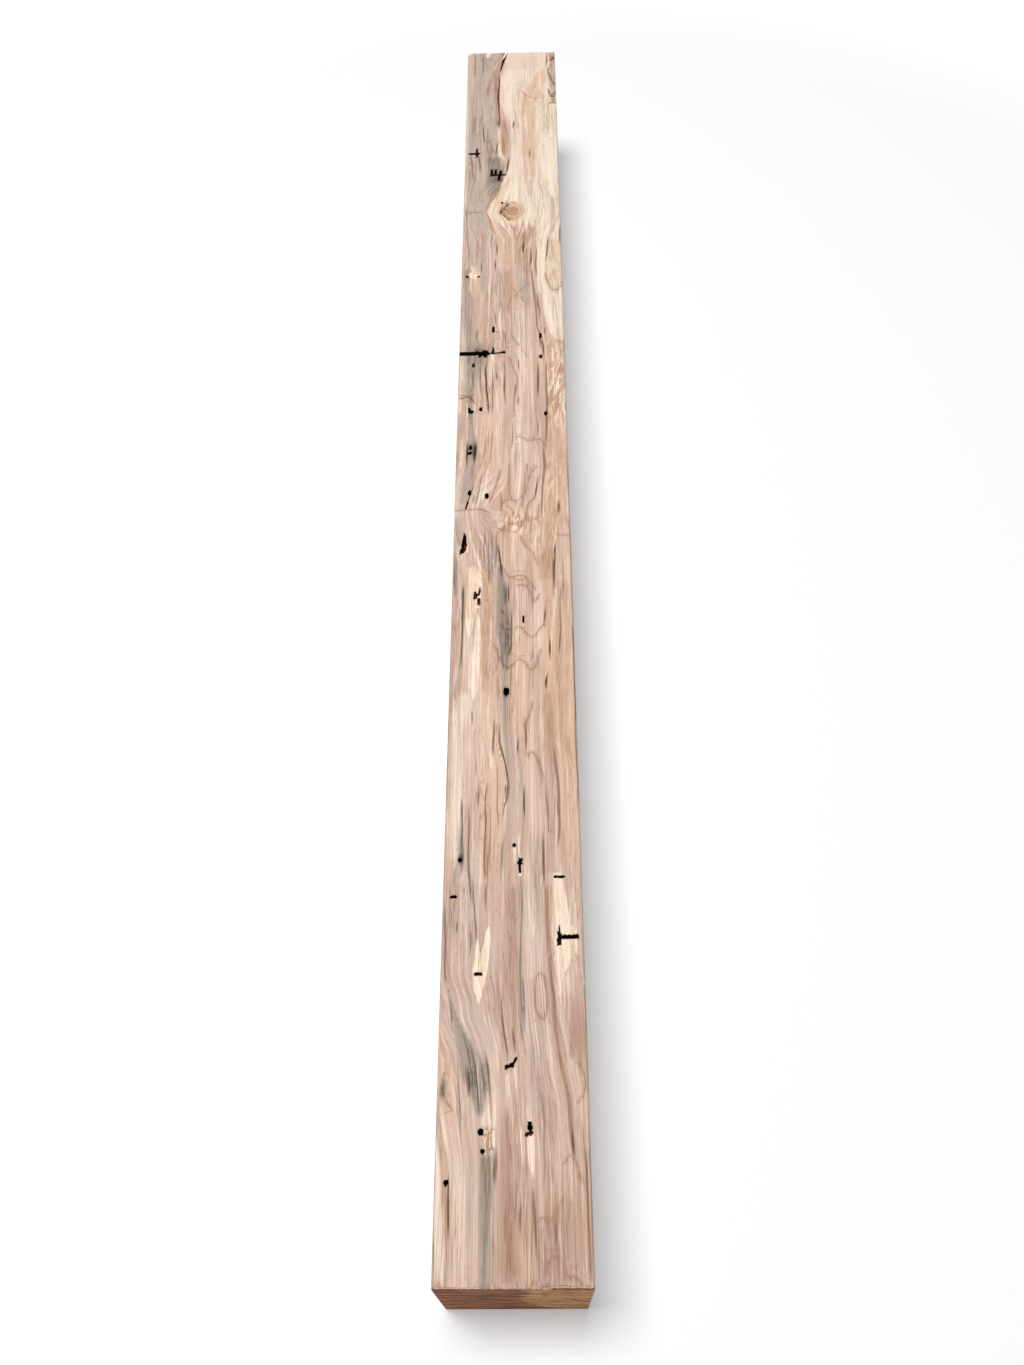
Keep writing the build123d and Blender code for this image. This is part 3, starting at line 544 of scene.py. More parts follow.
# Growth lines that cross the grain: strength, then across and along of each point. Over 1 it is a crack.
GROWTH_LINES = [
    (0.8, 26, 60, 30, 61, 33, 59, 38, 59, 41, 63, 43, 68, 46, 73, 49, 80),
    (0.8, 33, 12, 32, 18, 33, 23, 36, 27, 41, 27.5, 45, 25, 48, 19, 49, 12, 53, 9, 57, 12, 60, 8, 65, 2),
    (0.6, 66, 168, 70, 172, 73, 180, 74, 190, 71, 198, 67, 206),
    (0.5, 48, 108, 52, 112, 56, 118, 60, 114, 64, 104, 67, 92),
    (0.9, 30, 250.4, 26, 253.6, 24, 264, 23.4, 278, 24.4, 292, 27, 298, 31, 298.6, 34, 292, 35.4, 278, 35.4,
     262, 33.4, 253, 31, 250.4, 28.6, 251),
    (0.8, 17, 555, 19, 561, 23, 563, 27, 558, 30, 550, 33, 540, 35.5, 528, 37.5, 512, 39, 498, 40.5, 480, 41,
     462),
    (0.7, 15, 597, 17, 606, 21, 614, 24, 624, 24, 632),
    (0.8, -21, 709, -17, 698, -13, 686, -9, 679, -4, 678, 1, 682, 5, 689, 11, 690, 15, 687, 20, 678, 24, 673,
     28, 678, 32, 690, 35, 702),
    (0.9, 5, 735, 8, 738, 13, 737, 17, 729, 21, 723, 26, 721.5, 31, 727, 35, 735, 39, 741),
    (0.8, 6, 800, 14, 802, 20, 799, 24, 787, 28, 774, 31, 779, 34, 787),
    (0.7, -13, 832, -9, 822, -4, 812.5, 2, 815, 10, 816.5, 16, 816, 20, 810, 25, 803, 29, 795),
    (0.7, 12, 880, 14, 870, 19, 862, 24, 857, 28, 850, 31, 836),
    (0.6, 24, 905, 23.6, 888, 24.4, 868),
    (0.8, -18, 892, -12, 893.5, -6, 900, 0, 901, 5, 900, 10, 903, 16, 906.5, 22, 906, 27, 908, 34, 907),
    (0.6, -18, 886, -10, 891, -3, 889, 2, 885, 8, 890, 12, 897, 14, 903),
    (0.6, -12, 936, -9, 939, -6, 941, -2, 940),
    (0.6, -7, 931, -2, 926, 2, 918, 3, 908),
    (0.8, -3, 1004, -3, 975, -3.5, 955, -1, 942, 4, 938, 9, 939, 13, 945, 16, 955, 18, 975, 20, 1004),
    (0.7, 10, 908, 10, 925, 13, 935, 18, 945, 20, 960, 23, 980, 27, 992, 34, 998),
    (0.7, 18, 907, 19, 925, 22, 935, 27, 940, 31, 947, 33, 960, 35, 978),
    (0.6, 33, 905, 34, 925, 36, 934, 39, 936),
    (0.7, 6, 1050, 10, 1053, 14, 1052, 20, 1046, 27, 1045, 33, 1047, 38, 1047, 42, 1042, 44, 1037),
    (0.7, 2, 1090, 3, 1125, 5, 1140, 8, 1154, 8.6, 1165, 3, 1178, -1, 1190, -4, 1205),
    (0.45, -4, 1265, 0, 1248, 6, 1236, 14, 1224, 21, 1206),
    (0.5, 4, 1347, 9, 1336, 14, 1327, 21, 1319),
    (0.4, 8, 1330, 10, 1342, 18, 1352, 27, 1362),
    (1, 50, 1380, 52, 1370, 55, 1360, 59, 1349, 63, 1343.5, 67, 1344.5, 71, 1351, 77, 1358),
    (0.9, -27, 1477, -31, 1494, -36, 1512, -40, 1526, -38.5, 1540, -35, 1551, -29, 1561, -23, 1570, -20.5,
     1584, -18, 1600, -14, 1614, -10, 1620),
    (0.7, -7, 1501, -4, 1494, 0, 1489, 4, 1485),
    (1.7, -19, 1526, -14, 1532, -10, 1538, -6, 1546),
    (1.6, -18.5, 1525, -12, 1518, -7, 1512, -3, 1505),
    (0.5, 15, 1848, 19, 1837, 24, 1830, 31, 1825, 38, 1820, 44, 1822),
    # At the crease on the left, this line is a brown line and the painted shade of the crease.
    (0.95, -74, 923.5, -62, 925, -50, 924, -41, 926, -36, 924, -31, 920),
    (1.5, -72.5, 1125.5, -66, 1127.5, -60, 1128, -56, 1124.5, -54, 1119),
    (0.5, 58, 882, 66, 881, 75, 880),
    (0.5, -69, 1524, -55, 1525, -42, 1525),
    (0.7, -60, 160, -64, 165, -68.5, 172, -70.6, 180, -70.6, 187, -69, 195),
    (1.2, -24.6, 118, -25.4, 130, -24.2, 140),
    (1.2, -20.4, 124, -20.8, 133, -20, 141),
    (1.3, -28, 136.6, -24, 138, -21, 137.4),
    (1.4, -5, 700, -3, 706, -1.4, 710),
    (1.1, -12, 762, -9, 756, -6.4, 748, -4, 742),
    (1.1, -13, 742, -10, 735, -7, 728, -4.4, 722),
    (1.9, 64, 1806, 68, 1809, 75, 1808),
    (1.8, 62, 1846, 63, 1836, 66, 1828, 70, 1825, 73, 1831, 75, 1838),
    (1.8, 66, 1880, 68, 1871, 71, 1865, 75, 1862),
    (1.5, 64, 1908, 62, 1896, 66, 1884),
    (1.9, 67, 1930, 71, 1934, 74, 1942, 75, 1952),
    (1.6, 65, 1956, 66, 1944, 69, 1936),
]

# The knot: its middle, its width as a share of its length, where its hard core ends, the spacing of
# its rings and its reach. Flat is a size so long that a direction divided by it doesn't count.
KNOT = (0.5, 1528.0)
KNOT_SQUASH = 0.86
KNOT_CORE = (9.0, 12.5)
KNOT_STEP = 5.2
KNOT_REACH = 26.0
FLAT = 1000.0

# Relief of the skin: height of fine and of broad ridges, of the crease on the left at one place along,
# of the chips and the broken place at the near end, and of the rough patch at the far right corner
FINE_RIDGES = 0.22
BROAD_RIDGES = 0.25
CREASE = 0.35
CREASE_ALONG = 924.0
CREASE_RUN = 14.0
CREASE_RIGHT = -28.0
CHIPS = 1.3
CHIP_RUN = 2.6
BROKEN_PLACE = 2.2
BROKEN_ACROSS = 26.0
BROKEN_REACH = 14.0
SPLINTERS = 0.9
ROUGH_PATCH = 1.6
ROUGH_ACROSS = (62.0, 67.0)
ROUGH_ALONG = (1800.0, 1812.0)
EDGE_REACH = 2.2

# Random ripples: cell across, cell along, seed
RIPPLES = {
    "fine ridges": (2.4, 60, 1), "broad ridges": (9, 150, 2), "knocks": (6, 11, 3), "wear": (30, 70, 4),
    "chips": (3.2, 4, 5), "rough": (4, 9, 6), "band sway": (1, 34, 7), "streak sway": (1, 26, 8),
    "splinters": (2.2, 4, 9),
}
RIPPLE_CELLS = 256
SEED = 41

# The grid of places: columns on the top face, steps down a side, columns on the underside and in a
# rounded edge, rows, and loops on an end
TOP_COLUMNS = 140
SIDE_STEPS = (2.0, 5.0, 9.0, 14.0, 20.0, 27.0, 38.0, 55.0, 80.0, 110.0, 145.0, 175.0)
BOTTOM_COLUMNS = 8
ARC_COLUMNS = 3
ROWS = 488
CAP_LOOPS = 13
LAST_ROWS = (22.5, 45.0, 67.5, 90.0)

# How the grid gathers: rows beside any scar and at a small one, how strongly and how far round a small
# scar it is drawn in, what is too long to draw in to, and how near a rim a point has to be to move to it
BESIDE_SCAR = 2.4
AT_SMALL_SCAR = 4.0
SMALL_SCAR = 4.0
PINCH = 0.5
PINCH_REACH = 4.0
TOO_LONG = 20.0
SNAP = 1.1
ON_RIM = 0.02
FAR = 50.0

# Noise of the grain: size of a cell across, along and up in metres, detail, roughness, and the values
# that are eased to 0 and 1
GRAIN = {
    "broad": (0.026, 0.440, 0.030, 3.0, 0.5, 0.38, 0.62),
    "rosy": (0.011, 0.330, 0.014, 2.0, 0.5, 0.42, 0.62),
    "tan": (0.0085, 0.280, 0.011, 2.0, 0.5, 0.50, 0.64),
    "fibres": (0.0023, 0.140, 0.0030, 3.0, 0.6, 0.37, 0.63),
    "hairs": (0.0009, 0.040, 0.0011, 2.0, 0.6, 0.37, 0.63),
    "pores": (0.0009, 0.0060, 0.0011, 1.0, 0.5, 0.28, 0.36),
    "veil": (0.014, 0.110, 0.016, 2.0, 0.5, 0.42, 0.60),
}

# How far the curled grain is turned from the fibres, in radians
CURL_SLANT = 0.12

# Where along Y the near end's crack and flaked lip fade out and are full, in mm
NEAR_END = (-900.0, -970.0)

# Colours that the marks lay over the wood, in turn: mark, how far fibres fray its rim, the values that
# are eased to 0 and 1, strength, colour. The first ones lie under the curled grain, the others over it.
YOUNG_COATS = (
    ("rosy", 0.6, 0.05, 0.90, 1.0, "rosy"),
    ("cream", 0.5, 0.05, 0.90, 1.0, "cream"),
    ("warm", 0.8, 0.05, 0.90, 0.85, "warm"),
)
AGED_COATS = (
    ("grey", 0.9, 0.05, 0.70, 1.0, "grey"),
    ("grey", 1.0, 0.45, 1.15, 1.0, "grey_dark"),
    ("brown", 0.8, 0.05, 1.05, 1.0, "brown"),
)


def rgb(red, green, blue):
    """A colour written as it shows, out of 255, as the linear colour that light works with."""
    shown = np.array((red, green, blue)) / 255.0
    return tuple(np.where(shown <= 0.04045, shown / 12.92, ((shown + 0.055) / 1.055) ** 2.4))


def ease(low, high, value):
    """0 at low, 1 at high, and 3 t^2 - 2 t^3 of the share t of the way in between."""
    share = np.clip((value - low) / (high - low), 0.0, 1.0)
    return share * share * (3.0 - 2.0 * share)


def ripple(across, along, name):
    """Random numbers from 0 to 1 at the corners of this ripple's cells, eased into each other."""
    cell_across, cell_along, seed = RIPPLES[name]
    table = np.random.default_rng(SEED + seed).random((RIPPLE_CELLS, RIPPLE_CELLS))
    i, j = np.floor(across / cell_across), np.floor(along / cell_along)
    p, q = ease(0, 1, across / cell_across - i), ease(0, 1, along / cell_along - j)
    i, j = i.astype(int), j.astype(int)

    def corner(right, up):
        return table[(i + right) % RIPPLE_CELLS, (j + up) % RIPPLE_CELLS]

    near = corner(0, 0) * (1 - p) + corner(1, 0) * p
    far = corner(0, 1) * (1 - p) + corner(1, 1) * p
    return near * (1 - q) + far * q


def rod_distance(across, along, start, end, width=0.0):
    """Distance to the line between two ends, less half its width: below 0 inside it."""
    run = np.subtract(end, start)
    right, up = across - start[0], along - start[1]
    share = np.clip((right * run[0] + up * run[1]) / max(run @ run, 1e-9), 0, 1)
    return np.hypot(right - share * run[0], up - share * run[1]) - width / 2


def rim_distance(across, along, rim):
    """Distance to a closed rim of straight stretches, below 0 inside: inside, a line to the right
    crosses the rim an odd number of times."""
    rim = np.reshape(rim, (-1, 2))
    nearest = np.full(across.shape, np.inf)
    inside = np.zeros(across.shape, bool)
    for (a0, l0), (a1, l1) in zip(rim, np.roll(rim, -1, 0)):
        nearest = np.minimum(nearest, rod_distance(across, along, (a0, l0), (a1, l1)))
        if l0 != l1:
            crossing = a0 + (along - l0) * (a1 - a0) / (l1 - l0)
            inside ^= ((l0 > along) != (l1 > along)) & (across < crossing)
    return np.where(inside, -nearest, nearest)


def check_distance(across, along):
    """Distance to the drying check's plan, a wedge from its tip to its mouth at the far end."""
    tip_along = LENGTH - CHECK_LENGTH
    share = np.clip((along - tip_along) / CHECK_LENGTH, 0.0, 1.0)
    centre = CHECK_TIP + (CHECK_MOUTH - CHECK_TIP) * share
    return np.abs(across - centre) - CHECK_WIDTH / 2 * share + np.maximum(tip_along - along, 0.0)


def all_scars():
    """Every scar of the top face, as (depth, signed distance, lowest and highest corner of its plan).
    The drying check is the last."""
    found = []
    for scar in SCARS:
        start, end, (width, depth) = scar[:2], scar[-4:-2], scar[-2:]
        ends = np.array((start, end))
        distance = partial(rod_distance, start=start, end=end, width=width)
        found.append((depth, distance, ends.min(0) - width / 2, ends.max(0) + width / 2))
    for depth, *rim in HOLLOWS:
        corners = np.reshape(rim, (-1, 2))
        found.append((depth, partial(rim_distance, rim=rim), corners.min(0), corners.max(0)))
    low = np.array((CHECK_TIP - 2.0, LENGTH - CHECK_LENGTH))
    high = np.array((CHECK_MOUTH + CHECK_WIDTH, LENGTH + 1.0))
    found.append((CHECK_DEPTH, check_distance, low, high))
    return found


def close_to(across, along, low, high, reach):
    """Which places lie within this reach of a box."""
    return ((across > low[0] - reach) & (across < high[0] + reach)
            & (along > low[1] - reach) & (along < high[1] + reach))


def row_places(scars, first, last):
    """Places of the rows along the timber: the density is 1, with more beside each scar, and the rows
    divide its running total evenly."""
    fine = np.linspace(first, last, 20001)
    density = np.ones_like(fine)
    for _, _, low, high in scars:
        half = (high[1] - low[1]) / 2
        off = abs(fine - (low[1] + high[1]) / 2)
        density = np.maximum(density, 1 + BESIDE_SCAR * (1 - ease(half + 2, half + 9, off)))
        if half < SMALL_SCAR:
            density = np.maximum(density, 1 + AT_SMALL_SCAR * (1 - ease(2.0, 7.0, off)))
    total = np.cumsum(density)
    return np.interp(np.linspace(total[0], total[-1], ROWS), total, fine)


def column_places(radius):
    """Places of the columns once around the section, from the middle of the underside over the left
    side, the top and the right side, back to the start."""
    flat = WIDTH / 2 - radius
    bend = math.pi / 2 * radius
    side = DEPTH - 2 * radius
    arc = bend * np.arange(1, ARC_COLUMNS + 1) / (ARC_COLUMNS + 1)
    right = [np.linspace(0, flat, TOP_COLUMNS // 2 + 1), flat + arc, [flat + bend],
             flat + bend + np.array(SIDE_STEPS), [flat + bend + side], flat + bend + side + arc,
             flat + 2 * bend + side + flat * np.arange(BOTTOM_COLUMNS // 2 + 1) / (BOTTOM_COLUMNS // 2)]
    right = np.concatenate(right)
    return np.concatenate([-right[:0:-1], right[:-1]])


def around_section(place, radius):
    """Point (x, z) and outward direction at each place around a rectangle with rounded corners: its
    straight runs and quarter arcs, one after another, the same to the left as to the right."""
    flat, bend, side = WIDTH / 2 - radius, math.pi / 2 * radius, DEPTH - 2 * radius
    hand, run = np.sign(place) + (place == 0), np.abs(place)
    top_turn = np.clip((run - flat) / bend, 0, 1)
    low_turn = np.clip((run - flat - bend - side) / bend, 0, 1)
    turn = (top_turn + low_turn) * math.pi / 2
    x = np.minimum(run, flat) + radius * np.sin(turn)
    x = x - np.maximum(run - flat - 2 * bend - side, 0)
    z = DEPTH - radius - np.clip(run - flat - bend, 0, side) + radius * np.cos(turn)
    return np.stack([hand * x, z], -1), np.stack([hand * np.sin(turn), np.cos(turn)], -1)


def draw_in(across, along, scars, edge):
    """Draws the grid towards each small scar: a point moves to its centre by a share that falls off
    as exp(-r^2 / 2 s^2)."""
    for _, _, low, high in scars:
        centre, size = (low + high) / 2, np.hypot(*(high - low))
        if size > TOO_LONG:
            continue
        spread = PINCH_REACH + size / 2
        reach = ((across - centre[0]) ** 2 + (along - centre[1]) ** 2) / (2 * spread**2)
        share = PINCH * np.exp(-reach) * edge
        across = across + (centre[0] - across) * share
        along = along + (centre[1] - along) * share
    return across, along


def snap_to_rims(across, along, scars, edge):
    """Moves points near a rim towards it, along the slope of the distance d: d becomes d |d| / SNAP."""
    step = 0.05
    for _, distance, low, high in scars:
        spot = close_to(across, along, low, high, 2.0) & (edge > 0.5)
        a, l = across[spot], along[spot]
        d = distance(a, l)
        slope = np.stack([distance(a + step, l) - distance(a - step, l),
                          distance(a, l + step) - distance(a, l - step)]) / (2 * step)
        slope /= np.maximum(np.hypot(*slope), 1e-6)
        move = np.where(np.abs(d) < SNAP, d * np.abs(d) / SNAP - d, 0.0)
        across[spot], along[spot] = a + slope[0] * move, l + slope[1] * move
    return across, along


def tapered(here, first, last, share, longest):
    """1 along a route, eased to 0 at both ends, over a share of it that is no longer than this."""
    taper = min(longest, share * (last - first))
    return ease(first - 2, first + taper, here) * (1 - ease(last - taper, last + 2, here))


def paint_bands(across, along, bands):
    """Strength of the strongest band at each place: full along its centre line, eased to 0 past its
    half width, and tapered at both ends."""
    field = np.zeros(across.shape)
    sway = (ripple(across * 0, along, "band sway") - 0.5) * 1.1
    for strength, *route in bands:
        a, l, width = np.reshape(route, (-1, 3)).T
        spot = (along > l[0] - 2) & (along < l[-1] + 2)
        here = along[spot]
        half = np.maximum(np.interp(here, l, width) / 2, 0.75)
        off = np.abs(across[spot] - sway[spot] - np.interp(here, l, a)) / half
        shown = strength * (1 - ease(0.5, 1.4, off)) * tapered(here, l[0], l[-1], 0.3, 14.0)
        field[spot] = np.maximum(field[spot], shown)
    return field


def paint_patch(across, along, rim, soft):
    """1 inside a rim and 0 outside it, eased over its softness."""
    return 1 - ease(-soft, soft, rim_distance(across, along, rim))


def paint_dots(across, along, dots):
    """Small marks, 1.4 times as long as wide, which fall off as exp(-0.8 r^2)."""
    field = np.zeros(across.shape)
    for strength, a, l, radius in dots:
        spot = close_to(across, along, (a, l), (a, l), 4 * radius)
        reach = ((across[spot] - a) / radius) ** 2 + ((along[spot] - l) / (radius * 1.4)) ** 2
        field[spot] = np.maximum(field[spot], strength * np.exp(-reach * 0.8))
    return field


def paint_clouds(across, along, clouds):
    """Soft oval marks, which fall off as exp(-r^2)."""
    field = np.zeros(across.shape)
    for strength, a, l, reach_across, reach_along in clouds:
        reach = ((across - a) / reach_across) ** 2 + ((along - l) / reach_along) ** 2
        field = np.maximum(field, strength * np.exp(-reach))
    return field


def rounded_route(route):
    """A route with its corners cut twice, at a quarter and three quarters of each stretch."""
    points = np.array(route, float)
    for _ in range(2):
        cut = np.stack([0.75 * points[:-1] + 0.25 * points[1:], 0.25 * points[:-1] + 0.75 * points[1:]], 1)
        points = np.vstack([points[:1], cut.reshape(-1, 2), points[-1:]])
    return points


def paint_streaks(across, along, streaks):
    """For the nearest thin streak, how far to its right a place lies, half its width there and its
    strength. The offset is straight across it, so it shows as a fine line between far grid points."""
    offset, half, amount = (np.full(across.shape, start) for start in (4.0, 0.8, 0.0))
    sway = (ripple(across * 0, along, "streak sway") - 0.5) * 1.2
    for strength, *route in streaks:
        a, l, width = np.reshape(route, (-1, 3)).T
        spot = np.flatnonzero((along > l[0] - 2) & (along < l[-1] + 2))
        here = along[spot]
        off = across[spot] - sway[spot] - np.interp(here, l, a)
        won = np.abs(off) < np.abs(offset[spot])
        at, off, here = spot[won], off[won], here[won]
        offset[at], half[at] = off, np.interp(here, l, width) / 2
        amount[at] = strength * tapered(here, l[0], l[-1], 0.4, 20.0) * (1 - ease(2.2, 3.4, np.abs(off)))
    return offset, half, amount


def paint_lines(across, along):
    """For the nearest growth line, how far to one side of it a place lies, and the line's strength.
    The offset is straight across the line, so it shows as a fine line between far grid points."""
    nearest, offset = np.full((2, len(across)), 9.0)
    amount = np.zeros(across.shape)
    for strength, *corners in GROWTH_LINES:
        route = rounded_route(np.reshape(corners, (-1, 2)))
        spot = np.flatnonzero(close_to(across, along, route.min(0), route.max(0), 7.0))
        a, l = across[spot], along[spot]
        for (a0, l0), (a1, l1) in zip(route[:-1], route[1:]):
            run = math.hypot(a1 - a0, l1 - l0)
            share = ((a - a0) * (a1 - a0) + (l - l0) * (l1 - l0)) / run**2
            clipped = np.clip(share, 0, 1)
            reach = np.hypot(a - a0 - clipped * (a1 - a0), l - l0 - clipped * (l1 - l0))
            side = ((a - a0) * (l1 - l0) - (l - l0) * (a1 - a0)) / run
            beside = np.abs(share - clipped) * run < 1.5
            shown = strength * (1 - ease(4.5, 7.0, reach)) * beside
            won = reach < nearest[spot]
            at = spot[won]
            nearest[at], offset[at], amount[at] = reach[won], side[won], shown[won]
    return offset, amount


def fibre_lean(across, along):
    """How far each place lies to the right of where its fibre starts, eased between the rows of LEAN
    and straight between its places across. It fades out down the sides."""
    table = np.array(LEAN, float)
    starts, amounts, places = table[:, 0], table[:, 1:], np.array(LEAN_ACROSS, float)
    row = np.clip(np.searchsorted(starts, along) - 1, 0, len(starts) - 2)
    share = ease(0, 1, (along - starts[row]) / (starts[row + 1] - starts[row]))
    share = np.where(along < starts[0], 0.0, share)[:, None]
    here = amounts[row] * (1 - share) + amounts[row + 1] * share
    fade = np.exp(-np.maximum(np.abs(across) - WIDTH / 2, 0) / 60)
    across = np.clip(across, places[0], places[-1])
    column = np.clip(np.searchsorted(places, across) - 1, 0, len(places) - 2)
    part = (across - places[column]) / (places[column + 1] - places[column])
    rows = np.arange(len(column))
    return (here[rows, column] * (1 - part) + here[rows, column + 1] * part) * fade


class Skin:
    """The closed skin of the timber as whole arrays: a grid of places around and along it, bent into
    shape, worn and scarred, with a grid on each end that closes to a point at the pith."""

    def __init__(self, sizes):
        self.radius = sizes.worn_edge / MM
        self.corner = sizes.far_corner / MM
        self.wear = sizes.edge_wear / MM
        self.scars = all_scars()
        near_ease = sizes.near_ease / MM
        columns = column_places(self.radius)
        turns = np.radians(LAST_ROWS)
        rows = row_places(self.scars, near_ease, LENGTH - self.radius)
        along = np.concatenate([[0.0], rows, LENGTH - self.radius + self.radius * np.sin(turns)])
        inset = np.concatenate([[near_ease], rows * 0, self.radius * (1 - np.cos(turns))])
        self.around, self.length = len(columns), len(along)
        across, along = np.meshgrid(columns, along)
        self.inset = np.repeat(inset, self.around)
        self.place(across.ravel(), along.ravel())
        self.marks = {}
        self.carve()
        self.paint()
        self.close_ends()

    def place(self, across, along):
        """Warps the grid of places so that its points gather at the scars and lie on their rims."""
        inner = WIDTH / 2 - self.radius
        on_top = 1 - ease(inner - 3, inner, np.abs(across))
        between = ease(0, 4, along) * (1 - ease(LENGTH - 12, LENGTH - 4, along))
        across, along = draw_in(across, along, self.scars, on_top * between)
        across, along = snap_to_rims(across, along, self.scars[:-1], (np.abs(across) < inner) * between)
        fold = (np.abs(across) < inner) * ease(LENGTH - 80, LENGTH - 70, along)
        self.across, along = snap_to_rims(across, along, self.scars[-1:], fold)
        self.along = np.clip(along, 0.0, LENGTH)

    def carve(self):
        """Bends the places into the timber, then sinks the scars, the torn wood and the worn edges."""
        across, along = self.across, self.along
        down = np.maximum(np.abs(across) - WIDTH / 2, 0)
        top = 1 - ease(0, 8, down)
        points, outward = around_section(across, self.radius)
        corner = np.clip(along - (LENGTH - self.corner), 0, self.corner)
        narrow = self.corner - np.sqrt(self.corner**2 - corner**2)
        x = points[:, 0] * (1 - narrow / (WIDTH / 2)) - outward[:, 0] * self.inset
        z = points[:, 1] - outward[:, 1] * self.inset
        sink = self.sink_scars(down)
        relief = self.relief(top)
        share = self.open_check(down) * CHECK_DEPTH / (DEPTH - PITH_UP)
        x = x - outward[:, 0] * relief
        z = z - outward[:, 1] * relief - sink
        x = x + (PITH_ACROSS - x) * share
        z = z + (PITH_UP - z) * share
        broken = np.interp(across, *np.array(BROKEN_RIM).T)
        broken = broken + ripple(across, along * 0, "splinters") * SPLINTERS
        self.points = np.stack([x, along + broken * top * np.exp(-(along / 2) ** 2), z], 1)

    def sink_scars(self, down):
        """How deep the scars sink each place. The saw cut runs on down the side, and dies out there."""
        across, along = self.across, self.along
        sink = np.zeros(across.shape)
        self.inside = np.zeros(across.shape)
        self.rim = np.full(across.shape, FAR)
        for depth, distance, low, high in self.scars[:-1]:
            spot = np.flatnonzero(close_to(across, along, low, high, 8.0) & (down < SAW_CUT_DOWN_SIDE))
            d = distance(across[spot], along[spot])
            within = d < ON_RIM
            fall = depth * (1 - down[spot] / SAW_CUT_DOWN_SIDE) * within
            sink[spot] = np.maximum(sink[spot], fall)
            self.rim[spot] = np.minimum(self.rim[spot], d)
            self.inside[spot] = np.maximum(self.inside[spot], within * (down[spot] < SAW_CUT_DEPTH))
        return sink

    def relief(self, top):
        """How far the skin lies in from the squared timber: ridges of the fibres, torn wood, a crease,
        worn and knocked long edges, a chipped and broken near rim, and the rough far corner."""
        across, along = self.across, self.along
        torn, shallow = np.zeros((2, len(across)))
        for strength, soft, depth, *rim in TORN_PATCHES:
            patch = paint_patch(across, along, rim, soft)
            torn = np.maximum(torn, strength * patch)
            shallow = np.maximum(shallow, depth * patch)
        self.marks["torn"] = torn
        fibres = (ripple(across, along, "fine ridges") * FINE_RIDGES
                  + ripple(across, along, "broad ridges") * BROAD_RIDGES)
        crease = CREASE * (1 - ease(0, 1, np.abs(along - CREASE_ALONG) / CREASE_RUN))
        crease = crease * (across < CREASE_RIGHT) * (along < CREASE_ALONG + 0.5)
        from_edge = WIDTH / 2 - np.minimum(np.abs(across), WIDTH - np.abs(across))
        worn = np.exp(-((from_edge / EDGE_REACH) ** 2))
        knocks = ripple(across * 0.2, along, "knocks") * 0.6 + ripple(across, along, "wear") * 0.4
        worn = self.wear * worn * (0.25 + ease(0.52, 0.95, knocks))
        near = np.exp(-((along / CHIP_RUN) ** 2))
        chips = ease(0.35, 0.8, ripple(across, along * 0, "chips")) * near * CHIPS
        broken = np.exp(-(((across - BROKEN_ACROSS) / BROKEN_REACH) ** 2) - (along / CHIP_RUN) ** 2)
        rough = ease(*ROUGH_ACROSS, across) * ease(*ROUGH_ALONG, along) * ripple(across, along, "rough")
        relief = fibres * top + shallow * top + crease + worn
        return relief + (chips + BROKEN_PLACE * broken + rough * ROUGH_PATCH) * top

    def open_check(self, down):
        """How wide the drying check has opened at each place of it, from 0 to 1, and 0 elsewhere."""
        distance = check_distance(self.across, self.along)
        wedge = np.clip((self.along - (LENGTH - CHECK_LENGTH)) / CHECK_LENGTH, 0, 1)
        within = (distance < ON_RIM) * (down == 0) * (wedge > 0)
        self.inside = np.maximum(self.inside, within * ease(0.0, 0.2, wedge))
        self.rim = np.minimum(self.rim, np.where(wedge > 0, distance, FAR))
        return within * wedge

    def paint(self):
        """Works out how strongly each mark shows at each point."""
        across, along, marks = self.across, self.along, self.marks
        marks["lean"] = fibre_lean(across, along)
        for paint, tables in ((paint_bands, BANDS), (paint_clouds, CLOUDS), (paint_dots, DOTS)):
            for kind, table in tables.items():
                marks[kind] = np.maximum(marks.get(kind, 0.0), paint(across, along, table))
        for kind, strength, soft, *rim in ZONES:
            marks[kind] = np.maximum(marks.get(kind, 0.0), strength * paint_patch(across, along, rim, soft))
        for kind, streaks in STREAKS.items():
            found = paint_streaks(across, along, streaks)
            marks[kind + "_offset"], marks[kind + "_half"], marks[kind] = found
        marks["offset"], marks["line"] = paint_lines(across, along)
        # Just outside the rim of every scar: iron stain, and painted shade that widens the dark of holes,
        # cuts and the check.
        rim_stain_and_shade = np.exp(-((np.maximum(self.rim, 0) / 1.6) ** 2)) * 0.4
        marks["stain_and_shade"] = np.maximum(marks["stain_and_shade"], rim_stain_and_shade)
        # Inside holes, cuts and the open check, and on their rims: where painted shade goes, dark right from
        # the rim.
        marks["hole"] = np.maximum(self.inside * 8.0, 1 - ease(0.0, 0.5, self.rim))
        marks["end_grain"] = np.zeros(across.shape)

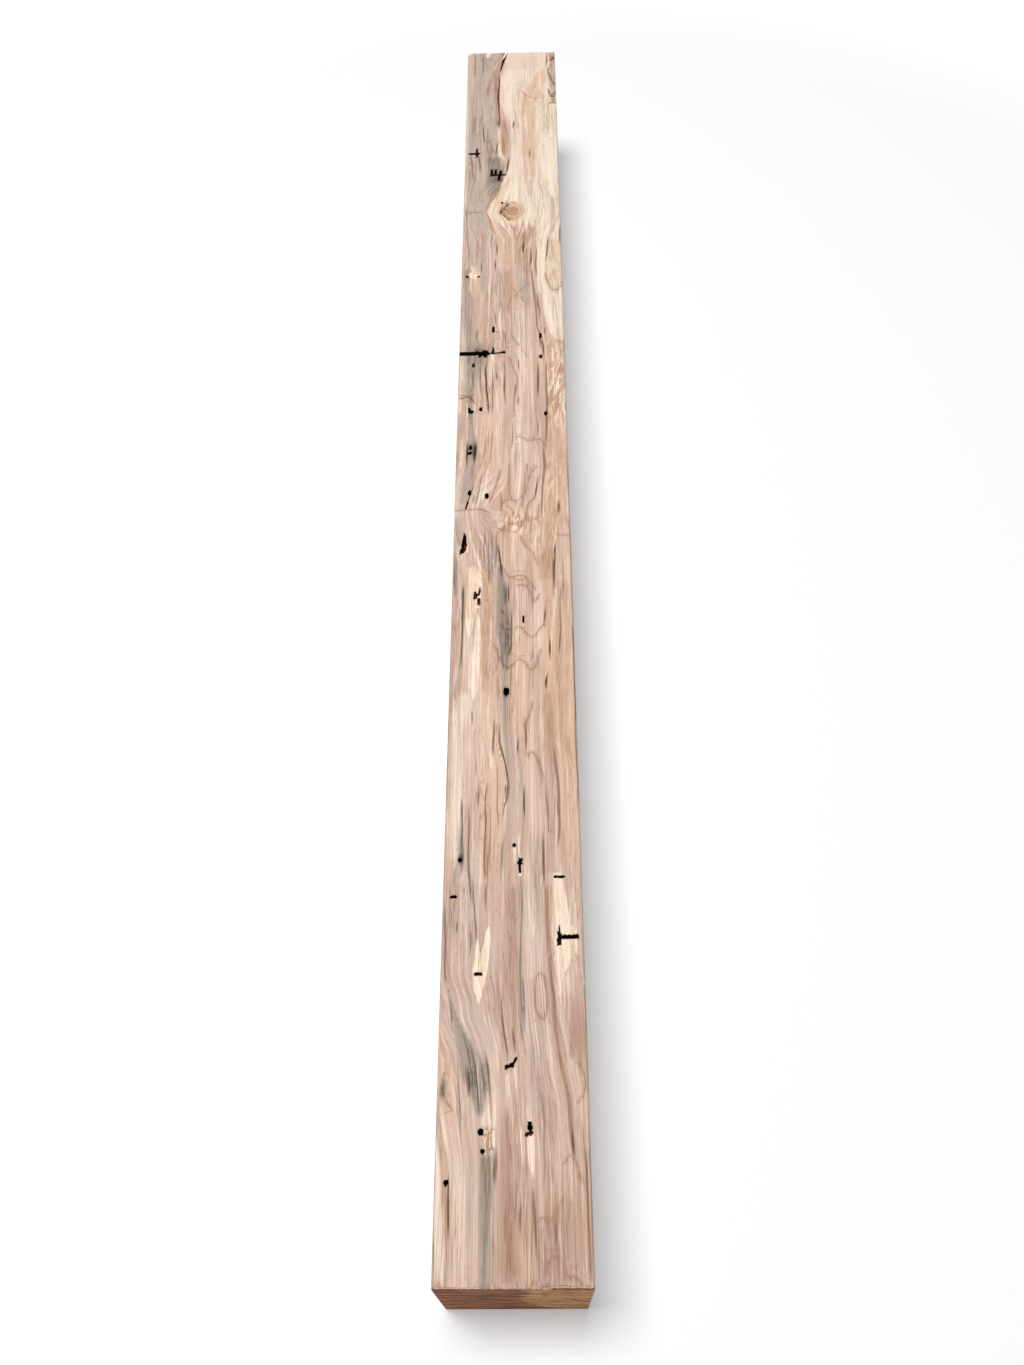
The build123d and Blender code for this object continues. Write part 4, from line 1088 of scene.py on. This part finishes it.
    def close_ends(self):
        """Adds the two ends: each loop is the end's rim drawn towards the pith, and the last is a point.
        Of the marks, only holes run a little way in."""
        pith = np.array((PITH_ACROSS, PITH_UP))
        shares = np.append(0.995, 1 - np.arange(1, CAP_LOOPS - 1) / (CAP_LOOPS - 1))
        fade = np.append(np.repeat(shares, self.around), 0.0)
        grids = {name: [values] for name, values in self.marks.items()}
        points = [self.points]
        for at in (0, self.length - 1):
            rim = slice(at * self.around, (at + 1) * self.around)
            flat = self.points[rim][:, [0, 2]]
            loops = pith + (flat - pith) * shares[:, None, None]
            loops = np.concatenate([loops.reshape(-1, 2), pith[None]])
            along = np.full(len(loops), self.along[rim].mean())
            points.append(np.stack([loops[:, 0], along, loops[:, 1]], 1))
            hole = self.marks["hole"][rim]
            hole = np.append(np.tile(hole, CAP_LOOPS - 1), hole.mean()) * (fade > 0.6)
            shown = {"end_grain": np.ones_like(fade), "hole": hole}
            for name, parts in grids.items():
                parts.append(shown.get(name, fade * 0))
        self.points = np.concatenate(points)
        self.marks = {name: np.concatenate(parts) for name, parts in grids.items()}

    def faces(self):
        """The corners of the four-sided faces, then of the three-sided ones at the pith, and which
        part of the skin each face is on: 0 the long faces, 1 the near end, 2 the far end."""
        columns = np.arange(self.around)
        after = (columns + 1) % self.around

        def strips(rings, flip):
            low, high = rings[:-1, :, None], rings[1:, :, None]
            quads = np.concatenate([low[:, columns], low[:, after], high[:, after], high[:, columns]], 2)
            return quads.reshape(-1, 4)[:, ::-1 if flip else 1]

        tube = np.arange(self.length * self.around).reshape(self.length, self.around)
        quads, fans = [strips(tube, False)], []
        start = self.length * self.around
        for rim, flip in ((tube[0], True), (tube[-1], False)):
            pole = start + (CAP_LOOPS - 1) * self.around
            rings = np.arange(start, pole).reshape(CAP_LOOPS - 1, self.around)
            quads.append(strips(np.vstack([rim[None], rings]), flip))
            fan = np.stack([rings[-1][columns], rings[-1][after], np.full(self.around, pole)], 1)
            fans.append(fan[:, ::-1 if flip else 1])
            start = pole + 1
        quad_part = np.repeat((0, 1, 2), [len(q) for q in quads])
        fan_part = np.repeat((1, 2), self.around)
        return np.concatenate(quads), np.concatenate(fans), quad_part, fan_part


# Strips of the layout in the unit square: left edge and width
STRIPS = {"top": (0.004, 0.236), "top_far": (0.246, 0.236), "right": (0.490, 0.150), "left": (0.648, 0.150),
          "under": (0.806, 0.090), "ends": (0.906, 0.086)}
STRIP_FOOT = 0.012
STRIP_HEIGHT = 0.976
END_HEIGHT = 0.470


def skin_layout(skin, quads, fans, quad_part, fan_part):
    """Places of the face corners in the unit square: the top face in two halves side by side, then
    the two sides and the underside as long strips, then the two ends."""
    spare = len(skin.points) - len(skin.across)
    around = np.append(skin.across, np.zeros(spare))
    run = np.append(skin.along, np.zeros(spare))
    flat, bend, side = WIDTH / 2 - skin.radius, math.pi / 2 * skin.radius, DEPTH - 2 * skin.radius
    top_edge, low_edge = flat + bend, flat + bend + side
    half_round = low_edge + bend + flat

    def corners(faces, part):
        across, along = around[faces], run[faces]
        seam = across.max(1) - across.min(1) > half_round
        across = np.where(seam[:, None] & (across < 0), across + 2 * half_round, across)
        middle = across.mean(1)
        far = along.mean(1) > LENGTH / 2
        on_top = np.abs(middle) <= top_edge
        kinds = [("top", on_top & ~far, -top_edge, 2 * top_edge, 0.0, LENGTH / 2),
                 ("top_far", on_top & far, -top_edge, 2 * top_edge, LENGTH / 2, LENGTH / 2),
                 ("right", (middle > top_edge) & (middle <= low_edge), top_edge, side, 0.0, LENGTH),
                 ("left", (middle < -top_edge) & (middle >= -low_edge), -low_edge, side, 0.0, LENGTH),
                 ("under", np.abs(middle) > low_edge, low_edge, 2 * (half_round - low_edge), 0.0, LENGTH)]
        u, v = np.zeros(across.shape), np.zeros(across.shape)
        for name, chosen, start, width, first, length in kinds:
            left, room = STRIPS[name]
            place = across[chosen]
            if name == "under":
                place = np.where(place < 0, place + 2 * half_round, place)
            u[chosen] = left + room * np.clip((place - start) / width, -0.01, 1.01)
            v[chosen] = STRIP_FOOT + STRIP_HEIGHT * (along[chosen] - first) / length
        ends = part > 0
        x, z = skin.points[faces[ends]][..., 0], skin.points[faces[ends]][..., 2]
        left, room = STRIPS["ends"]
        u[ends] = left + room * (x / WIDTH + 0.5)
        v[ends] = STRIP_FOOT + END_HEIGHT * (z / DEPTH) + 0.5 * (part[ends] - 1)[:, None]
        return np.stack([u, v], -1).reshape(-1, 2)

    return np.concatenate([corners(quads, quad_part), corners(fans, fan_part)])


def timber_mesh(skin):
    """The mesh of a skin, with its marks as point attributes and its layout."""
    quads, fans, quad_part, fan_part = skin.faces()
    mesh = bpy.data.meshes.new("weathered_board")
    points = (skin.points + (0.0, -LENGTH / 2, 0.0)) * MM
    mesh.vertices.add(len(points))
    mesh.vertices.foreach_set("co", points.astype(np.float32).ravel())
    corners = np.concatenate([quads.ravel(), fans.ravel()])
    counts = np.concatenate([np.full(len(quads), 4), np.full(len(fans), 3)])
    mesh.loops.add(len(corners))
    mesh.loops.foreach_set("vertex_index", corners.astype(np.int32))
    mesh.polygons.add(len(counts))
    mesh.polygons.foreach_set("loop_start", (np.cumsum(counts) - counts).astype(np.int32))
    mesh.update(calc_edges=True)
    mesh.validate()
    layout = skin_layout(skin, quads, fans, quad_part, fan_part)
    mesh.uv_layers.new(name="OFBake").uv.foreach_set("vector", layout.astype(np.float32).ravel())
    grain = points.copy()
    grain[:, 0] -= skin.marks.pop("lean") * MM
    grain[:, 1] += LENGTH / 2 * MM
    fibres = mesh.attributes.new("grain", "FLOAT_VECTOR", "POINT")
    fibres.data.foreach_set("vector", grain.astype(np.float32).ravel())
    for name, values in skin.marks.items():
        mark = mesh.attributes.new(name, "FLOAT", "POINT")
        mark.data.foreach_set("value", values.astype(np.float32))
    mesh.shade_smooth()
    mesh.set_sharp_from_angle(angle=math.radians(38))
    return mesh


class Shade:
    """A socket of a shader's nodes. Python's operators on it add Math nodes."""

    def __init__(self, tree, socket=None):
        self.tree = tree
        self.socket = socket

    def node(self, kind, settings, sockets, output=0):
        """Adds a node, sets its settings first and then feeds its sockets, named by identifier."""
        made = self.tree.nodes.new(kind)
        for name, value in settings.items():
            setattr(made, name, value)
        for name, value in sockets.items():
            socket = next(s for s in made.inputs if s.identifier == name)
            if isinstance(value, Shade):
                self.tree.links.new(value.socket, socket)
            else:
                socket.default_value = value
        if isinstance(output, int):
            return Shade(self.tree, made.outputs[output])
        return Shade(self.tree, next(s for s in made.outputs if s.identifier == output))

    def math(self, operation, first, second=0.0):
        return self.node("ShaderNodeMath", {"operation": operation}, {"Value": first, "Value_001": second})

    def vector_math(self, operation, second=(0.0, 0.0, 0.0), output="Vector"):
        sockets = {"Vector": self, "Vector_001": second}
        return self.node("ShaderNodeVectorMath", {"operation": operation}, sockets, output)

    def __add__(self, other):
        return self.math("ADD", self, other)

    __radd__ = __add__

    def __sub__(self, other):
        return self.math("SUBTRACT", self, other)

    def __rsub__(self, other):
        return self.math("SUBTRACT", other, self)

    def __mul__(self, other):
        return self.math("MULTIPLY", self, other)

    __rmul__ = __mul__

    def __abs__(self):
        return self.math("ABSOLUTE", self)

    def ease(self, low, high):
        """0 at low and 1 at high, smooth in between."""
        return self.node("ShaderNodeMapRange", {"interpolation_type": "SMOOTHSTEP"},
                         {"Value": self, "From Min": low, "From Max": high})

    def clamp(self):
        """This, kept between 0 and 1."""
        return self.node("ShaderNodeClamp", {}, {"Value": self})

    def fold(self, count):
        """0 wherever this times the count is whole, and a half in between."""
        return self.math("PINGPONG", self * count, 0.5)

    def part(self, name):
        """One coordinate of this vector."""
        return self.node("ShaderNodeSeparateXYZ", {}, {"Vector": self}, name)

    def mark(self, name):
        """A point attribute of the mesh."""
        return self.node("ShaderNodeAttribute", {"attribute_name": name}, {}, "Fac")

    def scaled(self, across, along, up):
        """This vector divided by a size in each direction, in metres."""
        return self.vector_math("MULTIPLY", (1 / across, 1 / along, 1 / up))

    def noise(self, across, along, up, detail, roughness=0.5, distortion=0.0):
        """Cloudy noise around one half at this vector, with cells of this size in metres."""
        sockets = {"Vector": self.scaled(across, along, up), "Scale": 1.0, "Detail": detail,
                   "Roughness": roughness, "Distortion": distortion}
        return self.node("ShaderNodeTexNoise", {}, sockets, "Fac")

    def blend(self, first, second):
        """The first colour where this is 0, and the second where it is 1."""
        return self.node("ShaderNodeMix", {"data_type": "RGBA"},
                         {"Factor_Float": self, "A_Color": first, "B_Color": second}, "Result_Color")


def looked_at(tree):
    """1 for rays from the camera and for mirrored or clear ones, and 0 for rays that only light things."""
    start = Shade(tree)
    camera, glossy, clear = (start.node("ShaderNodeLightPath", {}, {}, name)
                             for name in ("Is Camera Ray", "Is Glossy Ray", "Is Transmission Ray"))
    return start.math("MINIMUM", camera + glossy + clear, 1.0)


class Maple:
    """The material of weathered maple. Each mark is a point attribute, whose rim the noise of the
    fibres frays."""

    def __init__(self, colours):
        self.colours = colours
        self.material = bpy.data.materials.new("weathered_maple")
        self.material.use_nodes = True
        self.tree = self.material.node_tree
        start = Shade(self.tree)
        self.mark = start.mark
        self.solid = start.node("ShaderNodeTexCoord", {}, {}, "Object")
        grain = start.node("ShaderNodeAttribute", {"attribute_name": "grain"}, {}, "Vector")
        for name, (across, along, up, detail, roughness, low, high) in GRAIN.items():
            setattr(self, name, grain.noise(across, along, up, detail, roughness).ease(low, high))
        self.layers = grain.noise(0.0075, 0.200, 0.0090, 3.0, 0.6)
        self.streaks = self.layers.ease(0.37, 0.63)
        slant = {"Vector": grain, "Angle": CURL_SLANT}
        slanted = start.node("ShaderNodeVectorRotate", {"rotation_type": "Z_AXIS"}, slant)
        self.curls = slanted.noise(0.0048, 0.0360, 0.0080, 2.0, 0.5, 1.2)
        self.fray = self.streaks * 0.40 + self.fibres * 0.38 + self.hairs * 0.22 - 0.5
        jag = (self.fibres * 0.0016 + self.hairs * 0.0012 - 0.0014) * 1000.0
        self.off_line = abs(self.mark("offset") + jag)
        self.seams = (1 - self.layers.fold(10.0).ease(0.0, 0.30)) * self.veil
        line = (1 - self.off_line.ease(0.2, 1.5)) * (0.60 + self.streaks * 0.40)
        self.line = (line + (1 - self.off_line.ease(0.0, 5.5)) * 0.22) * self.mark("line")
        self.curl_pale = self.mark("curl") * self.curls.ease(0.50, 0.57)
        self.torn = self.frayed("torn", 0.8, 0.15, 0.80)
        # Where holes, cuts and the check take their painted shade.
        self.hole = self.mark("hole").ease(0.15, 0.55)

    def tint(self, name):
        """A colour of the settings."""
        return (*getattr(self.colours, name), 1.0)

    def frayed(self, name, amount, low, high):
        """A mark whose rim is frayed by the fibres and then eased."""
        mark = self.mark(name)
        return (mark + self.fray * mark.ease(0.0, 0.3) * amount).ease(low, high)

    def coat(self, colour, coats):
        """Lays the colours of some marks over a colour."""
        for mark, amount, low, high, strength, name in coats:
            colour = (self.frayed(mark, amount, low, high) * strength).blend(colour, self.tint(name))
        return colour

    def sound_wood(self):
        """Plain wood with its sapwood, curled grain, weathering and mineral zones, then the torn wood."""
        tint = self.tint
        colour = self.broad.blend(tint("plain_dark"), tint("plain_light"))
        colour = (self.rosy * 0.50).blend(colour, tint("rosy"))
        colour = (self.tan * 0.40).blend(colour, tint("warm"))
        colour = self.coat(colour, YOUNG_COATS)
        curl_dark = self.mark("curl") * (1 - self.curls.ease(0.38, 0.50))
        colour = (curl_dark * 0.8).blend(colour, tint("warm_dark"))
        colour = self.curl_pale.blend(colour, tint("torn"))
        colour = self.coat(colour, AGED_COATS)
        colour = self.torn.blend(colour, tint("torn"))
        between = 1 - self.fibres * 0.6 - self.streaks * 0.4
        return (self.torn * between * 0.50).blend(colour, tint("warm"))

    def knot(self, colour):
        """Lays the knot on the top face: a warm place, a hard core, and rings at even distances."""
        tint = self.tint
        centre = (KNOT[0] / KNOT_SQUASH, KNOT[1] - LENGTH / 2, 0.0)
        flat = self.solid.scaled(KNOT_SQUASH * MM, MM, FLAT)
        reach = flat.vector_math("DISTANCE", centre, "Value")
        reach = reach + (self.solid.noise(0.020, 0.020, 0.020, 1.0) - 0.5) * 9.0
        on_top = self.solid.part("Z").ease(DEPTH * MM - 0.02, DEPTH * MM - 0.01)
        core = (1 - reach.ease(*KNOT_CORE)) * on_top
        rings = 1 - reach.fold(1 / KNOT_STEP).ease(0.12, 0.44)
        rings = rings * (1 - reach.ease(KNOT_REACH - 6.0, KNOT_REACH))
        warm = 1 - reach.ease(KNOT_REACH - 8.0, KNOT_REACH + 4.0)
        colour = (warm * on_top * 0.45).blend(colour, tint("warm"))
        colour = (core * 0.50).blend(colour, tint("heart"))
        return (rings * on_top * 0.55).blend(colour, core.blend(tint("brown"), tint("brown_deep")))

    def darkened(self, colour):
        """Darkens the gaps between fibres, the seams, growth lines, pores and dull places, and paints
        highlights on the highest fibres."""
        gaps = (1 - self.streaks) * 0.22 + (1 - self.fibres) * 0.25 + (1 - self.hairs) * 0.18
        gaps = gaps * (1 - self.mark("cream") * 0.35) * (1 + self.mark("grey") * 0.35)
        gaps = gaps * (1 - self.torn * 0.6) * (1 - self.curl_pale * 0.7)
        dark = gaps + self.seams * 0.42 + self.line * 1.10 + (1 - self.pores) * 0.30 + self.mark("dull")
        shade = colour.vector_math("MULTIPLY", tuple(self.colours.shade))
        colour = dark.clamp().blend(colour, shade)
        # Painted highlight: the highest fibres are lightened towards the colour of torn wood.
        return (self.fibres.ease(0.80, 1.0) * self.hairs * 0.30).blend(colour, self.tint("torn"))

    def streak(self, name, colour, tone):
        """Lays a kind of thin streak over a colour."""
        off = abs(self.mark(name + "_offset") + (self.fibres + self.hairs - 1.0) * 0.5)
        side = off - self.mark(name + "_half")
        amount = (1 - side.ease(-0.5, 0.8)) * self.mark(name) * (1.0 + self.streaks * 0.30)
        return amount.clamp().blend(colour, self.tint(tone))

    def scarred(self, colour):
        """Lays the thin streaks, cracks, iron stains and painted shade round rims over a colour, then
        the painted shade inside holes.
        """
        colour = self.streak("streak", colour, "brown_deep")
        colour = self.streak("vein", colour, "grey_deep")
        crack = (1 - self.off_line.ease(0.4, 1.4)) * (self.mark("line") - 1.0).clamp()
        colour = crack.blend(colour, self.tint("brown_deep"))
        # Iron stains, with painted shade round the rims of scars and along the saw cut.
        stained = self.mark("stain_and_shade")
        stain_and_shade = (stained + self.fray * 0.5 * stained.ease(0.02, 0.3)).ease(0.06, 0.95)
        colour = stain_and_shade.blend(colour, self.tint("stain_and_shade"))
        # Inside holes: painted shade, and rust where the rust mark lies.
        hole_shade = self.mark("rust").blend(self.tint("hole_shade"), self.tint("rust"))
        return self.hole.blend(colour, hole_shade)

    def end_grain(self):
        """The sawn ends: dark heartwood, a wedge of pale sapwood with a bowed rim, seams between the
        layers, a crack and a flaked lip on the near end, and a line of painted shade under the top rim."""
        tint, solid = self.tint, self.solid
        x, y, z = (solid.part(name) * 1000.0 for name in "XYZ")
        drop = (DEPTH - z) * (1 / DEPTH)
        near = y.ease(*NEAR_END)
        blotch = solid.noise(0.050, 1.0, 0.012, 3.0, 0.6, 0.4).ease(0.37, 0.63)
        rays = solid.noise(0.070, 1.0, 0.0085, 3.0, 0.6, 0.3)
        layered = rays.ease(0.37, 0.63)
        speckle = solid.noise(0.0014, 1.0, 0.0014, 2.0, 0.6).ease(0.37, 0.63)
        bow = drop - 0.41
        wedge = (x + (blotch - 0.5) * 8.0 - 7.0 - 120.0 * bow * bow).ease(-3.0, 3.0)
        dark = (blotch * 0.55 + layered * 0.30 + speckle * 0.15).ease(0.15, 0.95)
        pale = (layered * 0.6 + speckle * 0.2 + blotch * 0.2).ease(0.1, 0.8)
        colour = wedge.blend(dark.blend(tint("dark_heart_and_shade"), tint("heart")),
                             pale.blend(tint("heart"), tint("end_pale")))
        seam = (1 - rays.fold(11.0).ease(0.0, 0.30)) * (0.35 + wedge * 0.55)
        crack = abs(drop - 0.57 - (x - 70.0) * 0.0066) + (1 - x.ease(30.0, 60.0)) * 0.08
        seam = seam + (1 - crack.ease(0.005, 0.035)) * near
        colour = (seam + (1 - speckle) * 0.18).clamp().blend(colour, tint("dark_heart_and_shade"))
        flake = (drop - 0.14 + abs(x - 20.0) * 0.008 + (self.fibres - 0.5) * 0.05).ease(0.03, -0.03)
        colour = (flake * near * 0.5).blend(colour, tint("end_pale"))
        # Painted shade: a dark band just under the top rim of each end.
        colour = ((1 - drop.ease(0.014, 0.034)) * 0.8).blend(colour, tint("dark_heart_and_shade"))
        # Painted shade inside holes that reach the ends.
        return self.hole.blend(colour, tint("hole_shade")), layered * 0.5 + speckle * 0.5

    def finish(self, relief):
        """Feeds the shader with the colour, the dullness and the fine relief, and returns the material."""
        colour = self.scarred(self.darkened(self.knot(self.sound_wood())))
        end_colour, end_height = self.end_grain()
        ends = self.mark("end_grain").ease(0.30, 0.70)
        ridges = self.fibres * 0.35 + self.hairs * 0.30 + self.streaks * 0.35
        grooves = self.seams * 0.6 + self.mark("brown") * 0.5 + self.line * 0.3
        splinters = self.torn * (self.streaks + self.fibres) * 0.8
        height = (ridges - grooves + splinters) * (1 - ends) + end_height * ends
        bump = height.node("ShaderNodeBump", {}, {"Strength": 1.0, "Distance": relief, "Height": height})
        rough = 0.66 + self.fibres * 0.12 + self.mark("torn") * 0.06 - self.mark("stain_and_shade") * 0.10
        surface = self.tree.nodes["Principled BSDF"]
        surface.inputs["Specular IOR Level"].default_value = 0.14
        fed = {"Base Color": ends.blend(colour, end_colour), "Roughness": rough, "Normal": bump}
        for name, value in fed.items():
            self.tree.links.new(value.socket, surface.inputs[name])
        return self.material


def length_property(name, description, default, low=0.0):
    """A length in metres."""
    return FloatProperty(name=name, description=description, default=default, min=low, unit="LENGTH",
                         subtype="DISTANCE", precision=4)


def colour_property(name, description, *shown):
    """A colour, given as it shows."""
    return FloatVectorProperty(name=name, description=description, default=rgb(*shown), size=3, min=0.0,
                               max=1.0, subtype="COLOR")


class TimberSizes(bpy.types.PropertyGroup):
    """Sizes of the timber's worn skin."""

    worn_edge: length_property("Worn edge", "Radius of the long edges and the far edges", 2.5 * MM)
    near_ease: length_property("Near end ease", "Bevel round the near end", 0.8 * MM)
    far_corner: length_property("Far corner", "Radius of the far end's upright corners", 6.0 * MM)
    edge_wear: length_property("Edge wear", "How far knocks have worn the edges in", 0.9 * MM)
    fibre_relief: length_property("Fibre relief", "Height of the fibres' fine relief", 0.35 * MM)


class TimberColours(bpy.types.PropertyGroup):
    """Colours of weathered maple."""

    plain_light: colour_property("Plain light", "Pale side of plain wood", 231, 205, 190)
    plain_dark: colour_property("Plain dark", "Dark side of plain wood", 209, 180, 162)
    rosy: colour_property("Rosy", "Pinkish streaks", 212, 187, 174)
    warm: colour_property("Warm", "Tan zones", 224, 187, 158)
    warm_dark: colour_property("Warm dark", "Dark side of curled grain", 203, 158, 126)
    cream: colour_property("Cream", "Sapwood and pale streaks", 240, 223, 204)
    grey: colour_property("Grey", "Weathered wood", 210, 194, 182)
    grey_dark: colour_property("Dark grey", "Strongly weathered wood", 160, 146, 134)
    brown: colour_property("Brown", "Mineral zones", 164, 122, 92)
    brown_deep: colour_property("Deep brown", "Thin mineral streaks", 94, 60, 40)
    grey_deep: colour_property("Deep grey", "Thin weathered streaks", 76, 67, 61)
    shade: colour_property("Shade", "What the gaps between fibres multiply the colour by", 196, 178, 164)
    # Torn wood's colour, also used for the painted highlights on the highest fibres.
    torn: colour_property("Torn", "Freshly torn fibres", 255, 234, 214)
    # Iron stains, and the painted shade round the rims of scars and along the saw cut.
    stain_and_shade: colour_property("Stain", "Iron stain", 40, 32, 29)
    # Painted shade inside holes, cuts and the open check.
    hole_shade: colour_property("Pit", "The inside of holes", 14, 9, 8)
    rust: colour_property("Rust", "Rusty walls of holes", 104, 52, 32)
    heart: colour_property("Heart", "Heartwood on the ends", 210, 134, 76)
    # Dark heartwood, and the painted shade under the top rim of each end.
    dark_heart_and_shade: colour_property("Dark heart", "Dark heartwood on the ends", 92, 50, 26)
    end_pale: colour_property("Pale end", "Sapwood on the ends", 255, 202, 140)


class StageSettings(bpy.types.PropertyGroup):
    """The floor, the light and the camera."""

    floor_colour: colour_property("Floor", "Colour of the floor", 215, 215, 217)
    floor_size: length_property("Floor size", "Width and length of the floor", 14.0)
    floor_lift: FloatProperty(name="Floor lift", description="Light that the camera sees the floor give off",
                              default=0.25, min=0.0, max=1.0)
    floor_near: length_property("Floor near", "Distance from which the floor turns white", 1.3)
    floor_far: length_property("Floor far", "Distance from which the floor is white", 2.6)
    lamp_power: FloatProperty(name="Lamp", description="Power of the soft lamp, in watts", default=680.0,
                              min=0.0)
    lamp_height: length_property("Lamp height", "Height of the soft lamp over the floor", 8.0)
    lamp_left: length_property("Lamp left", "Distance of the lamp to the left of the centre line", 1.2)
    lamp_back: length_property("Lamp back", "Distance of the lamp before the timber's middle", 0.1)
    lamp_width: length_property("Lamp width", "Size of the lamp across the timber", 3.2)
    lamp_length: length_property("Lamp length", "Size of the lamp along the timber", 2.4)
    sky_strength: FloatProperty(name="Sky", description="Strength of the even light", default=0.14, min=0.0)
    camera_height: length_property("Camera height", "Height of the camera over the floor", 1.4594)
    camera_back: length_property("Camera back", "Distance of the camera before the timber's middle", 1.0926)
    camera_right: length_property("Camera right", "Distance of the camera right of the centre line", 0.0256)
    camera_pitch: FloatProperty(name="Pitch", description="Angle that the camera looks down at",
                                default=math.radians(58.43), subtype="ANGLE")
    camera_turn: FloatProperty(name="Turn", description="Angle that the camera is turned leftwards",
                               default=math.radians(1.92), subtype="ANGLE")
    camera_roll: FloatProperty(name="Roll", description="Angle that the camera is held askew",
                               default=math.radians(-2.31), subtype="ANGLE")
    camera_lens: FloatProperty(name="Lens", description="Focal length on a 36 mm sensor, in millimetres",
                               default=32.35, min=1.0)


class TIMBER_OT_board(bpy.types.Operator):
    """Builds the worn and scarred skin of the timber in place of its plain solid"""

    bl_idname = "timber.board"
    bl_label = "Weathered board"

    def execute(self, context):
        sizes = context.scene.timber_sizes
        mesh = timber_mesh(Skin(sizes))
        mesh.materials.append(Maple(context.scene.timber_colours).finish(sizes.fibre_relief))
        board = bpy.data.objects.new("weathered_board", mesh)
        context.scene.collection.objects.link(board)
        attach(board, "root")
        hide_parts(NODE)
        return {"FINISHED"}


class TIMBER_OT_stage(bpy.types.Operator):
    """Lays the pale floor and sets the soft light and the camera"""

    bl_idname = "timber.stage"
    bl_label = "Stage"

    def execute(self, context):
        stage = context.scene.timber_stage
        self.lay_floor(context.scene, stage)
        self.light(context.scene, stage)
        self.aim_camera(context.scene, stage)
        context.scene.view_settings.view_transform = "Standard"
        return {"FINISHED"}

    def lay_floor(self, scene, stage):
        """A flat floor. What the camera sees of it is lifted towards white, fully so in the distance,
        and keeps its shadow."""
        half = stage.floor_size / 2
        corners = [(-half, -half, 0.0), (half, -half, 0.0), (half, half, 0.0), (-half, half, 0.0)]
        mesh = bpy.data.meshes.new("floor")
        mesh.from_pydata(corners, [], [(0, 1, 2, 3)])
        material = bpy.data.materials.new("floor")
        material.use_nodes = True
        surface = material.node_tree.nodes["Principled BSDF"]
        surface.inputs["Base Color"].default_value = (*stage.floor_colour, 1.0)
        surface.inputs["Roughness"].default_value = 1.0
        surface.inputs["Specular IOR Level"].default_value = 0.0
        surface.inputs["Emission Strength"].default_value = 1.0
        tree = material.node_tree
        place = Shade(tree).node("ShaderNodeTexCoord", {}, {}, "Object")
        away = place.vector_math("LENGTH", output="Value").ease(stage.floor_near, stage.floor_far)
        lift = looked_at(tree) * (away * (1 - stage.floor_lift) + stage.floor_lift)
        glow = lift.blend((0.0, 0.0, 0.0, 1.0), (1.0, 1.0, 1.0, 1.0))
        tree.links.new(glow.socket, surface.inputs["Emission Color"])
        mesh.materials.append(material)
        floor = bpy.data.objects.new("floor", mesh)
        scene.collection.objects.link(floor)

    def light(self, scene, stage):
        """A soft lamp overhead to the left, and an even sky that shows as white."""
        light = bpy.data.lights.new("soft_lamp", "AREA")
        light.shape = "RECTANGLE"
        light.energy = stage.lamp_power
        light.size = stage.lamp_width
        light.size_y = stage.lamp_length
        lamp = bpy.data.objects.new("soft_lamp", light)
        lamp.location = (-stage.lamp_left, -stage.lamp_back, stage.lamp_height)
        scene.collection.objects.link(lamp)
        world = bpy.data.worlds.new("pale_sky")
        world.use_nodes = True
        tree = world.node_tree
        sky = tree.nodes["Background"]
        sky.inputs["Color"].default_value = (1.0, 1.0, 1.0, 1.0)
        strength = stage.sky_strength + looked_at(tree) * (1 - stage.sky_strength)
        tree.links.new(strength.socket, sky.inputs["Strength"])
        scene.world = world

    def aim_camera(self, scene, stage):
        """The camera of the fitted view: turned, pitched down, then held a little askew."""
        camera = bpy.data.cameras.new("camera")
        camera.lens = stage.camera_lens
        camera.sensor_width = 36.0
        camera.clip_start = 0.01
        viewer = bpy.data.objects.new("camera", camera)
        turned = (Matrix.Rotation(stage.camera_turn, 4, "Z")
                  @ Matrix.Rotation(math.pi / 2 - stage.camera_pitch, 4, "X")
                  @ Matrix.Rotation(stage.camera_roll, 4, "Z"))
        place = Vector((stage.camera_right, -stage.camera_back, stage.camera_height))
        viewer.matrix_world = Matrix.Translation(place) @ turned
        scene.collection.objects.link(viewer)
        scene.camera = viewer


class TIMBER_PT_panel(bpy.types.Panel):
    """Lists the pieces in the sidebar"""

    bl_idname = "TIMBER_PT_panel"
    bl_label = "Reclaimed timber"
    bl_space_type = "VIEW_3D"
    bl_region_type = "UI"
    bl_category = "Timber"

    def draw(self, context):
        for group in (context.scene.timber_sizes, context.scene.timber_colours, context.scene.timber_stage):
            box = self.layout.box()
            for name in group.__annotations__:
                box.prop(group, name)
        for operator in (TIMBER_OT_board, TIMBER_OT_stage):
            self.layout.operator(operator.bl_idname)


CLASSES = (TimberSizes, TimberColours, StageSettings, TIMBER_OT_board, TIMBER_OT_stage, TIMBER_PT_panel)


def register():
    for entry in CLASSES:
        bpy.utils.register_class(entry)
    bpy.types.Scene.timber_sizes = PointerProperty(type=TimberSizes)
    bpy.types.Scene.timber_colours = PointerProperty(type=TimberColours)
    bpy.types.Scene.timber_stage = PointerProperty(type=StageSettings)


def unregister():
    for name in ("timber_sizes", "timber_colours", "timber_stage"):
        delattr(bpy.types.Scene, name)
    for entry in reversed(CLASSES):
        bpy.utils.unregister_class(entry)


def main():
    """Builds the board and its stage."""
    register()
    bpy.ops.timber.board()
    bpy.ops.timber.stage()


if __name__ == "__main__":
    main()
